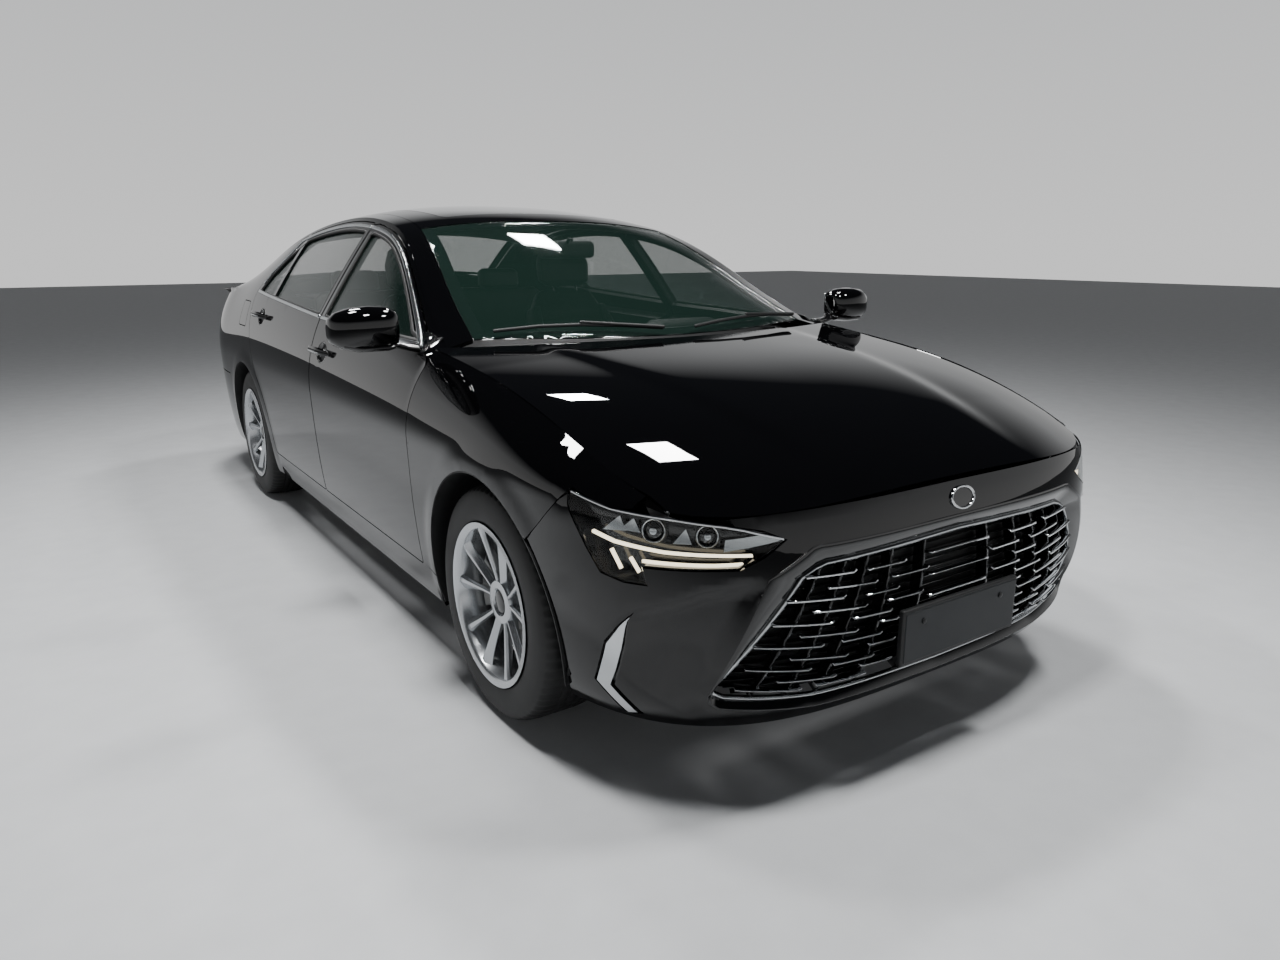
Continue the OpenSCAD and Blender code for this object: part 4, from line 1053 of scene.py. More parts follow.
    def tail_corner(self, hand: Hand) -> None:
        """Skin from the quarter panel round to the boot lid, with the lamp's opening."""
        edge = TAIL.across((self.lid_half + HALF_GAP, 600))[0, 0]
        side = TAIL.beside((2117, 600))[0, 0]
        loop = np.array([(edge, 598), (side, 598), (side, 1026), (edge, 1026)])
        lamp = rounded([(TAIL.across((612, 780))[0, 0], 786, 8), (TAIL.beside((2140, 780))[0, 0], 800, 20),
                        (TAIL.beside((2150, 880))[0, 0], 880, 16), (TAIL.across((612, 880))[0, 0], 872, 8)])
        if hand is Hand.RIGHT:
            loop, lamp = mirrored(loop), mirrored(lamp)
        name = hand.name.lower()
        piece = skin(f"tail_corner_{name}", loop, TAIL, BACKWARD, (0, 12), 20, (lamp,))
        dress(piece, PAINT, "car_body", "paint")
        lens = skin(f"tail_lens_{name}", offset_loop(lamp, 1.5), TAIL, BACKWARD, (0.5, 4), 20, edge=1)
        dress(lens, RED_LENS, "car_body", "tail_lens", *(["tail_lights"] if hand is Hand.LEFT else []))
        bowl = skin(f"tail_bowl_{name}", offset_loop(lamp, -2), TAIL, BACKWARD, (24, 28), 30, edge=0)
        dress(bowl, BLACK_GLOSS, "car_body", "black_plastic")
        ys = np.linspace(1775, 2344, 20)
        outer = [(float(FORM.edge_x(y)), y) for y in ys]
        inner = [(self.lid_half + HALF_GAP, y) for y in ys[::-1]]
        kept = [p for p in outer if p[0] > 606]
        deck = np.array(kept + [p for p in inner if float(FORM.edge_x(p[1])) > 606])
        if hand is Hand.RIGHT:
            deck = mirrored(deck)
        dress(skin(f"deck_side_{name}", deck, top_surface(FORM.deck), UP, (0, 4), 20, edge=1), PAINT,
              "car_body", "paint")

    def hood(self) -> None:
        """The hood with its two soft ridges."""
        corner, back = -2116, -1042
        ys = np.linspace(corner, back, 28)
        right = [(float(FORM.edge_x(y)) - 5, y) for y in ys]
        half = right[-1][0]
        rear = [(x, -1222 + 180 * (abs(x) / half) ** 2.0) for x in np.linspace(half, -half, 25)]
        left = [(-x, y) for x, y in right[::-1]]
        reach = right[0][0] * 0.985
        lead = []
        for x in np.linspace(-reach, reach, 41):
            y = FORM.nose_start - (FORM.nose_start + 2334) * (1 - (abs(x) / 926) ** 3.6) ** (1 / 3.6)
            lead.append((x, min(y + 5, corner - 4)))
        loop = np.array(right + rear[1:-1] + left + lead)
        dress(skin("hood_skin", loop, top_surface(hood_height), UP, (0, 10), 23), PAINT, "hood_lid",
              "paint", "hood")
        inner = np.array([(x * 0.9, -1640 + (y + 1640) * 0.93) for x, y in loop])
        cuts = [rounded([(s * 80, -2150, 40), (s * 540, -2060, 40), (s * 600, -1300, 40),
                         (s * 80, -1370, 40)])
                for s in (1, -1)]
        under = skin("hood_frame", inner, top_surface(hood_height), UP, (10.5, 26), 40, cuts, edge=4)
        dress(under, BLACK_GRAIN, "hood_lid", "black_plastic")

    def band(self, a: Line, b: Line, f: float, da: float = 0, db: float = 0) -> np.ndarray:
        """Outline across the car between two lines, out to a share of the half width."""
        ks = np.linspace(-f, f, 25)
        low = [(k * float(FORM.rail_half(a(abs(k)))), float(a(abs(k))) + da) for k in ks]
        high = [(k * float(FORM.rail_half(b(abs(k)))), float(b(abs(k))) + db) for k in ks[::-1]]
        ts = np.linspace(0, 1, 16)[1:-1]
        right = [(f * float(FORM.rail_half(y)), y) for y in low[-1][1] + (high[0][1] - low[-1][1]) * ts]
        return np.array(low + right + high + [(-x, y) for x, y in right[::-1]])

    def top(self) -> None:
        """Roof, sunroof, windshield, rear window and the rails beside them."""
        foot = Line((0, -1185), (0.5, -1140), (0.9, -1025), (1, -995))
        head = Line((0, -300), (0.5, -290), (1, -262))
        back = Line((0, 1150), (0.5, 1142), (1, 1116))
        base = Line((0, 1792), (0.5, 1784), (1, 1760))
        canopy = top_surface(FORM.canopy)
        sun = rounded([(-410, -160, 50), (410, -160, 50), (420, 380, 50), (-420, 380, 50)])
        roof = skin("roof_skin", self.band(head, back, 0.882, 3, -3), canopy, UP, (0, 14), 25, (sun,))
        dress(roof, PAINT, "car_body", "paint", "roof_panel")
        dress(skin("roof_glass", offset_loop(sun, 3), canopy, UP, (0, 8), 26), PRIVACY, "car_body",
              "dark_glass",
              "sunroof_glass")
        for name, a, b, node in (("windshield", foot, head, "windshield"),
                                 ("rear_glass", back, base, "rear_window")):
            loop = self.band(a, b, 0.882)
            dress(skin(name, offset_loop(loop, 1), canopy, UP, (1, 6), 33, edge=0), GLASS, "car_body",
                  "glass", node)
            frit = skin(f"{name}_border", offset_loop(loop, 0), canopy, UP, (6.4, 8), 30,
                        (offset_loop(resample(loop, 60), 44),), edge=0)
            dress(frit, BLACK_GLOSS, "car_body", "black_plastic")
        lining = skin("roof_lining", self.band(head, back, 0.86, 20, -20), canopy, UP, (30, 38), 60, edge=0)
        dress(lining, LINING, "car_body", "leather")
        for hand in Hand:
            ys = np.linspace(-1035, 1812, 56)
            loop = np.array([(float(FORM.rail_half(y)) - 0.5, y) for y in ys] +
                            [(0.886 * float(FORM.rail_half(y)), y) for y in ys[::-1]])
            if hand is Hand.RIGHT:
                loop = mirrored(loop)
            dress(skin(f"rail_skin_{hand.name.lower()}", loop, canopy, UP, (0, 14), 22), PAINT, "car_body",
                  "paint")

    def nose(self) -> None:
        """Painted front bumper cover."""
        arch = [(FORM.front_axle - math.sqrt(self.arch_r**2 - (z - FORM.axle_z) ** 2),
                 z) for z in np.linspace(196, 588, 15)]
        side = NOSE.beside(*arch, (-1812, 598), (-1952, 738))
        lamp = NOSE.across(*LAMP_LOWER)
        top = NOSE.across((662, 712), (560, 717), (400, 720))
        right = np.concatenate([side, offset_path(lamp, 2.2), top])
        loop = np.concatenate([[(0, 190)], right, [(0, 722)], right[::-1] * [-1, 1]])
        hole = np.concatenate([NOSE.across(*GRILLE_OUTER),
                               NOSE.across(*GRILLE_OUTER[1:-1][::-1]) * [-1, 1]])
        blades = [offset_loop(BLADE * [s, 1], -9) for s in (1, -1)]
        cover = skin("bumper_skin_front", loop, NOSE, FORWARD, (0, 10), 18, (hole, *blades))
        dress(cover, PAINT, "car_body", "paint", "front_bumper")

    def boot(self) -> None:
        """Boot lid: deck and tail face in one skin each, meeting at the lip."""
        half = self.lid_half - HALF_GAP
        xs = np.linspace(-half, half, 31)

        def lip(x: float, z: float) -> float:
            """Y of the tail at a height."""
            return float(TAIL(TAIL.across((x, z)))[0, 1])
        front = [(x, 1806 - 28 * (x / 600) ** 2) for x in xs[::-1]]
        rear = [(x, lip(x, 1040) - 4) for x in xs]
        deck = np.array(rear + front)
        top = skin("boot_deck", deck, top_surface(FORM.deck), UP, (0, 14), 24)
        dress(top, PAINT, "boot", "paint", "boot_lid")
        crest = [(x, float(FORM.deck(x, lip(x, 1040) - 4)) - 3) for x in xs[::-1]]
        face = np.concatenate([TAIL.across(*[(x, 664) for x in xs]), TAIL.across(*crest)])
        recess = rounded([(-262, 684, 14), (262, 684, 14), (262, 840, 14), (-262, 840, 14)])
        light = np.concatenate([TAIL.across(*[(x, 868) for x in xs[1:-1]]),
                                TAIL.across(*[(x, 888) for x in xs[-2:0:-1]])])
        tail = skin("boot_face", face, TAIL, BACKWARD, (0, 14), 22, (recess, light))
        dress(tail, PAINT, "boot", "paint")
        wall = flare("plate_recess", recess, offset_loop(recess, 9), TAIL, BACKWARD, (1, 30))
        back = skin("plate_recess_back", offset_loop(recess, 6), TAIL, BACKWARD, (28, 32), 40, edge=0)
        dress(joined("plate_recess", wall, back), BLACK_GLOSS, "boot", "paint")
        bar = skin("tail_light_bar", offset_loop(light, 1.5), TAIL, BACKWARD, (0.5, 5), 24, edge=1)
        dress(bar, RED_LENS, "boot", "tail_lens")
        bowl = skin("tail_light_bar_bowl", offset_loop(light, -3), TAIL, BACKWARD, (16, 20), 40, edge=0)
        dress(bowl, BLACK_GLOSS, "boot", "black_plastic")

    def rear_bumper(self) -> None:
        """Rear bumper cover with its dark lower part and reflectors."""
        arch = [(FORM.rear_axle + math.sqrt(self.arch_r**2 - (z - FORM.axle_z) ** 2),
                 z) for z in np.linspace(212, 560, 12)]
        side = TAIL.beside(*[(max(y, 1701), z) for y, z in arch], (1702, 592))
        half = TAIL.across((560, 330), (640, 212))
        right = np.concatenate([[half[0]], [half[1]], side, TAIL.across((604, 594), (600, 658))])
        loop = np.concatenate([[(0, 330)], right, [(0, 658)], right[::-1] * [-1, 1]])
        cover = skin("bumper_skin_rear", loop, TAIL, BACKWARD, (0, 12), 22)
        dress(cover, PAINT, "car_body", "paint", "rear_bumper")
        low = TAIL.across((552, 326), (630, 206))
        skirt = np.concatenate([[(0, 322)], low, low[::-1] * [-1, 1]])
        dress(skin("rear_skirt", skirt, TAIL, BACKWARD, (6, 14), 30), BLACK_GRAIN, "car_body",
              "black_plastic")
        for hand in Hand:
            spot = TAIL.across((600, 392), (780, 400), (780, 418), (600, 412)) * [hand.value, 1]
            dress(skin(f"reflector_{hand.name.lower()}", spot, TAIL, BACKWARD, (-2, 4), 20, edge=1.5),
                  RED_LENS,
                  "car_body", "tail_lens")


def hood_height(x: np.ndarray, y: np.ndarray) -> np.ndarray:
    """Height of the hood with a raised middle between two soft ridges that spread towards the glass."""
    ridge = 330 + (y + 2330) * 0.16
    fade = np.clip((y + 2320) / 300, 0, 1) * np.clip((-1060 - y) / 260, 0, 1)
    return FORM.hood(x, y) + 7 * fade / (1 + np.exp((np.abs(x) - ridge) / 14)) - 3.5 * fade


def offset_path(path: np.ndarray, distance: float) -> np.ndarray:
    """Moves an open path to its left."""
    run = np.gradient(np.asarray(path, float), axis=0)
    run /= np.linalg.norm(run, axis=1, keepdims=True)
    return path + np.stack([-run[:, 1], run[:, 0]], 1) * distance


LAMP_LOWER = ((884, 738), (892, 712), (878, 626), (864, 574), (838, 562), (808, 562), (814, 602),
              (655, 604),
              (600, 629), (549, 662), (600, 684), (656, 695))
LAMP_TOP = ((675, 697), (767, 712), (847, 722), (880, 742))
GRILLE_OUTER = ((0, 642), (470, 641), (488, 638), (596, 577), (696, 296), (690, 276), (668, 258),
                (430, 224),
                (0, 212))
GRILLE_INNER = ((0, 602), (440, 592), (470, 584), (508, 566), (688, 300), (682, 284), (660, 272),
                (430, 240),
                (0, 228))
BLADE = np.concatenate([NOSE.beside((-2128, 480), (-2062, 400), (-2014, 290), (-2068, 214), (-2092, 222),
                                    (-2050, 288), (-2102, 396))])
LINING = Finish("grey_roof_lining", "8d8c88", roughness=0.85, grain_mm=1.5, grain=0.2)


# ------------------------------------------------------------------ front lamps and grille


@dataclass
class Front:
    """Headlamps, grille, corner blades, badge and number plate."""

    bars: tuple = (
        ((501, 569), (370, 563)), ((548, 518), (400, 506)), ((580, 465), (430, 448)),
        ((618, 413), (451, 392)),
        ((630, 356), (474, 333)), ((642, 301), (486, 276)), ((442, 536), (304, 525)),
        ((481, 484), (332, 470)),
        ((510, 427), (354, 411)), ((527, 371), (373, 349)), ((549, 312), (394, 295)),
        ((325, 560), (209, 558)),
        ((328, 498), (230, 495)), ((364, 446), (248, 441)), ((389, 391), (273, 386)),
        ((403, 331), (285, 326)),
        ((437, 278), (294, 272)), ((244, 527), (127, 525)), ((255, 469), (142, 467)),
        ((273, 418), (222, 414)),
        ((302, 362), (221, 358)), ((312, 304), (216, 299)))
    centre_bars: tuple = ((111, 561), (112, 505), (111, 450))
    struts: tuple = (((455, 586), (600, 262)), ((382, 590), (512, 250)), ((312, 594), (420, 240)),
                     ((232, 597), (296, 236)), ((118, 600), (150, 232)))

    def build(self) -> None:
        """Builds the front of the car."""
        for hand in Hand:
            self.lamp(hand)
            self.blade(hand)
        self.grille()
        self.plate()

    def lamp(self, hand: Hand) -> None:
        """One headlamp: lens, dark housing, two projectors, light guides and bright fins."""
        s, side = hand.value, hand.name.lower()
        loop = NOSE.across(*LAMP_LOWER, *LAMP_TOP)
        if hand is Hand.RIGHT:
            loop = mirrored(loop)
        lens = skin(f"headlamp_lens_{side}", offset_loop(loop, 1.2), NOSE, FORWARD, (0.5, 3.5), 18,
                    edge=0.8)
        dress(lens, CLEAR, "car_body", "lamp", *(["headlights"] if hand is Hand.LEFT else []))
        wall = flare(f"headlamp_housing_{side}", offset_loop(loop, 2), offset_loop(loop, 7), NOSE, FORWARD,
                     (5, 46), 2)
        back = skin(f"headlamp_back_{side}", offset_loop(loop, 4), NOSE, FORWARD, (44, 47), 24, edge=0)
        dress(joined(f"headlamp_housing_{side}", wall, back), BLACK_GLOSS, "car_body", "black_plastic")
        for i, (x, z, r) in enumerate(((799, 682, 23), (708, 675, 21))):
            at, normal, _ = on_surface(NOSE, NOSE.across((x, z)) * [s, 1], FORWARD)
            base = at[0] - normal[0] * 44
            ring = turned(f"projector_ring_{side}_{i}",
                          [(r, 0), (r + 4, 0), (r + 6, 20), (r + 3, 25), (r, 23)],
                          base, normal[0], 40, 0.8)
            dress(ring, SATIN, "car_body", "lamp")
            dome = [(0, 0), (0, 27)] + [(r * math.sin(a), 10 + 17 * math.cos(a)) for a in np.linspace(0.25,
                1.5, 7)]
            dress(turned(f"projector_{side}_{i}", dome + [(r, 0)], base, normal[0], 40), PRIVACY,
                  "car_body", "lamp")
            shade = turned(f"projector_glow_{side}_{i}",
                           [(0, 27.5), (0, 28.5), (r * 0.35, 27.4), (r * 0.35, 26.4)],
                           base, normal[0], 24)
            dress(shade, SATIN, "car_body", "lamp")
        guides = (((876, 660), (852, 646), (786, 636), (622, 631)), ((833, 616), (822, 584)),
                  ((856, 628), (845, 586)),
                  ((817, 611), (700, 611), (643, 613)))
        for i, path in enumerate(guides):
            strip = moulding(f"light_guide_{side}_{i}", NOSE.across(*path) * [s, 1], NOSE, FORWARD,
                             ((-3, 14), (-3, 22), (3, 22), (3, 14)), False, 12)
            dress(strip, LIGHT, "car_body", "lamp")
        tip = NOSE.across((556, 660), (681, 642), (676, 668), (600, 676)) * [s, 1]
        dress(skin(f"lamp_tip_{side}", tip, NOSE, FORWARD, (10, 16), 14, edge=1), SATIN, "car_body", "lamp")
        for i, fin in enumerate((((866, 668), (838, 674), (842, 710)), ((818, 674), (846, 676), (824, 708)),
                                 ((770, 656), (745, 692), (738, 656)))):
            shape = NOSE.across(*fin) * [s, 1]
            dress(skin(f"lamp_fin_{side}_{i}", shape, NOSE, FORWARD, (20, 30), 14, edge=1), SATIN,
                  "car_body", "lamp")
        line = NOSE.across(*LAMP_TOP[::-1], (640, 689), (556, 664)) * [s, 1]
        edge = moulding(f"lamp_strip_{side}", line, NOSE, FORWARD,
                        ((-2.5, 1), (-2.5, -1.5), (2.5, -1.5), (2.5, 1)), False)
        dress(edge, CHROME, "car_body", "lamp")

    def blade(self, hand: Hand) -> None:
        """The satin blade at the bumper's corner and the dark slot behind it."""
        loop = BLADE if hand is Hand.LEFT else mirrored(BLADE)
        side = hand.name.lower()
        dress(skin(f"bumper_blade_{side}", loop, NOSE, FORWARD, (-3, 6), 14, edge=2.5), SATIN, "car_body",
              "alloy")
        slot = skin(f"bumper_slot_{side}", offset_loop(loop, -14), NOSE, FORWARD, (10.5, 16), 24, edge=0)
        dress(slot, BLACK_GLOSS, "car_body", "black_plastic")

    def grille(self) -> None:
        """Frame, backing, bars and struts of the grille."""
        outer = np.concatenate([NOSE.across(*GRILLE_OUTER),
                                NOSE.across(*GRILLE_OUTER[1:-1][::-1]) * [-1, 1]])
        inner = np.concatenate([NOSE.across(*GRILLE_INNER),
                                NOSE.across(*GRILLE_INNER[1:-1][::-1]) * [-1, 1]])
        frame_piece = flare("grille_frame", outer, inner, NOSE, FORWARD, (-2, 26))
        dress(frame_piece, BLACK_GLOSS, "car_body", "black_plastic", "grille")
        trim = moulding("grille_trim", inner, NOSE, FORWARD,
                        ((-4, 24), (-4, 19), (3, 19), (3, 30), (-2, 30)))
        dress(trim, SATIN, "car_body", "alloy")
        back = skin("grille_back", offset_loop(inner, -8), NOSE, FORWARD, (62, 66), 40, edge=0)
        dress(back, BLACK_GRAIN, "car_body", "black_plastic")
        slats = []
        for i, z in enumerate(np.linspace(256, 578, 15)):
            x = float(np.interp(z, (240, 300, 566, 600), (620, 680, 500, 420)))
            path = NOSE.across(*[(abs(k), z) for k in np.linspace(-x, x, 40)]) * [[-1 if k < 0 else 1,
                                                                                   1] for k in
                                                                              np.linspace(-x, x, 40)]
            slats.append(moulding(f"slat_{i}", path, NOSE, FORWARD,
                                  ((-1.5, 46), (-1.5, 60), (1.5, 60), (1.5, 46)), False,
                                  60))
        dress(joined("grille_slats", *slats), BLACK_GLOSS, "car_body", "black_plastic")
        bars, struts = [], []
        for s in (1, -1):
            for (x0, z0), (x1, z1) in self.bars:
                path = NOSE.across((x0, z0), (x1, z1), (x1 - 7, z1 + 5)) * [s, 1]
                bars.append(moulding("bar", path, NOSE, FORWARD,
                                     ((-2.8, 12), (-2.8, 34), (2.8, 34), (2.8, 12)), False))
            for (x0, z0), (x1, z1) in self.struts:
                path = NOSE.across((x0, z0), (x1, z1)) * [s, 1]
                struts.append(moulding("strut", path, NOSE, FORWARD, ((-4, 26), (-4, 56), (4, 56), (4, 26)),
                                       False))
        for x, z in self.centre_bars:
            path = np.array([(k * x, z) for k in (-1, -0.5, 0, 0.5, 1)])
            bars.append(moulding("bar", path, NOSE, FORWARD, ((-2.8, 12), (-2.8, 34), (2.8, 34), (2.8, 12)),
                                 False))
        dress(joined("grille_bars", *bars), CHROME, "car_body", "alloy")
        dress(joined("grille_struts", *struts), BLACK_GLOSS, "car_body", "black_plastic")
        ring = moulding("badge_ring", oval(0, 680, 44, 28, 40), NOSE, FORWARD,
                        ((0, 3), (0, -5), (5, -5), (5, 3)), step=8)
        dress(ring, CHROME, "car_body", "alloy")
        face = skin("badge_face", oval(0, 680, 41, 25, 40), NOSE, FORWARD, (-2, 2), 14, edge=1)
        dress(face, BLACK_GLOSS, "car_body", "alloy")

    def plate(self) -> None:
        """Both blank number plates with their frames and bolts."""
        for name, node, face, rear, z in (("front_plate_sheet", "front_plate", -2386, -2366, 366),
                                          ("rear_plate_sheet", "rear_plate", 2392, 2378, 761)):
            way, body = (1, "car_body") if face < 0 else (-1, "boot")
            holder = block(f"{name}_holder", (-222, face + way * 2, z - 72), (222, rear, z + 72), 5)
            dress(holder, BLACK_GRAIN, body, "black_plastic")
            dress(block(name, (-214, face, z - 64), (214, face + way * 4, z + 64), 1.8), PLATE, body,
                  "plate", node)
            for s in (-1, 1):
                bolt = turned(f"{name}_bolt_{'a' if s < 0 else 'b'}", [(0, 0), (7, 0), (7, 2.5), (0, 4)],
                              (s * 150, face, z + 34), (0, -way, 0), 20)
                dress(bolt, BLACK_GRAIN, body, "black_plastic")


# ------------------------------------------------------------------ wheels


@dataclass
class Wheels:
    """Tyres, rims, discs and calipers."""

    blocks: int = 72
    spokes: int = 10

    def build(self) -> None:
        """Builds all four wheels."""
        for place in ("front", "rear"):
            for hand in Hand:
                node = f"tyre_{place}_{hand.name.lower()}"
                low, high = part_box(node)
                centre = (np.array(low) + np.array(high)) * 500
                self.wheel(place, hand, centre, f"wheel_{place[0]}{hand.name[0].lower()}")

    def wheel(self, place: str, hand: Hand, centre: np.ndarray, body: str) -> None:
        """One wheel about its centre."""
        s, side = hand.value, hand.name.lower()
        dress(self.tyre(f"tyre_rubber_{place}_{side}", centre, s), RUBBER, body, "tyre",
              f"tyre_{place}_{side}")
        barrel = [(232, 112), (226, 113.5), (220, 110), (215, 98), (207, 70), (200, 20), (204, -60),
                  (214, -90),
                  (226, -98), (231, -104), (226, -106), (210, -98), (198, -64), (194, 20), (200, 72),
                  (209, 100), (214, 113)]
        rim = turned(f"rim_barrel_{place}_{side}", barrel, centre, (s, 0, 0), 96)
        dress(rim, SILVER, body, "alloy", f"rim_{place}_{side}")
        arms = [self.spoke(k, centre, s) for k in range(self.spokes)]
        dress(joined(f"rim_spokes_{place}_{side}", *arms), SILVER, body, "alloy")
        hub = [(0, 30), (66, 30), (66, 66), (60, 76), (40, 78), (34, 70), (33, 64), (0, 64)]
        dress(turned(f"rim_hub_{place}_{side}", hub, centre, (s, 0, 0), 60, 2), SILVER, body, "alloy")
        cap = turned(f"hub_cap_{place}_{side}", [(0, 64), (0, 78), (24, 77), (31, 73), (32, 64)], centre,
                     (s, 0, 0), 40, 1)
        dress(cap, BLACK_GLOSS, body, "alloy")
        nuts = []
        for k in range(5):
            a = math.radians(90 + 72 * k)
            at = centre + [s * 60, 49 * math.cos(a), 49 * math.sin(a)]
            nuts.append(turned("nut", [(0, 0), (9, 0), (9, 12), (6, 14), (0, 14)], at, (s, 0, 0), 6))
        dress(joined(f"wheel_nuts_{place}_{side}", *nuts), IRON, body, "alloy")
        disc = [(0, 0), (150, 0), (150, 24), (88, 24), (86, 34), (0, 34)]
        dress(turned(f"brake_disc_{place}_{side}", disc, centre, (s, 0, 0), 72, 1), IRON, body, "cast")
        holder = f"upright_{side}" if place == "front" else "car_body"
        turns = np.radians(np.linspace(148, 204, 12) if place == "front" else np.linspace(-24, 28, 12))
        rings = []
        for t in turns:
            c, d = -math.cos(t), math.sin(t)
            rings.append([centre + [s * x, r * c, r * d] for r, x in
                          ((100, 30), (160, 30), (160, -6), (170, -6), (172, 40), (162, 50), (104, 50),
                           (98, 42))])
        caliper = grid_object(f"caliper_{place}_{side}", np.array(rings), (False, True), True, 3)
        dress(caliper, IRON, holder, "cast")

    def tyre(self, name: str, centre: np.ndarray, s: int) -> bpy.types.Object:
        """A tyre with grooves and shoulder blocks."""
        half = [(218, -98), (224, -106), (236, -110), (250, -112), (270, -112.5), (288, -110), (300, -107),
                (312, -101),
                (318, -96), (322, -88), (325, -78), (326.5, -70), (328, -54), (328.5, -46), (328.4, -44),
                (321.5, -43), (321.5, -36), (328.4, -35), (328.5, -17), (321.5, -16), (321.5, -9),
                (328.5, -8)]
        profile = np.array(half + [(r, -x) for r, x in half[::-1]])
        steps, rings = self.blocks * 3, []
        for i in range(steps):
            a = 2 * math.pi * i / steps
            r = profile[:, 0].copy()
            if i % 3 == 0:
                wide = np.abs(profile[:, 1])
                r[(wide > 44) & (wide < 97) & (r > 316)] -= 5
                r[(wide < 36) & (r > 327)] -= 1.5
            rings.append(np.stack([np.full(len(r), centre[0]) + s * profile[:, 1],
                                   centre[1] + r * math.cos(a),
                                   centre[2] + r * math.sin(a)], 1))
        return grid_object(name, np.array(rings), (True, True))

    def spoke(self, k: int, centre: np.ndarray, s: int) -> bpy.types.Object:
        """One twisted spoke; neighbours lean together in pairs."""
        lean = 1 if k % 2 else -1
        base = math.radians(90 + 72 * (k // 2) + lean * 15)
        rings = []
        for r, w, t, x in ((44, 12, 34, 72), (62, 10, 30, 76), (90, 10.5, 26, 80), (120, 12, 24, 85),
                           (150, 14, 22, 90),
                           (178, 17, 20, 95), (200, 22, 18, 99), (213, 28, 16, 101)):
            turn = base + lean * math.radians(3.5) * (r - 60) / 150
            rad = np.array([0, math.cos(turn), math.sin(turn)])
            tan = np.array([0, -math.sin(turn), math.cos(turn)]) * lean
            ring = [(-w, -9), (-w * 0.7, -1), (-w * 0.1, 0), (w * 0.15, -3), (w * 0.8, -12), (w, -15),
                    (w * 0.7, -t), (-w * 0.7, -t)]
            rings.append([centre + rad * r + tan * u + np.array([s * (x + d), 0, 0]) for u, d in ring])
        return grid_object("spoke", np.array(rings), (False, True), True, 2, 35)


# ------------------------------------------------------------------ cabin


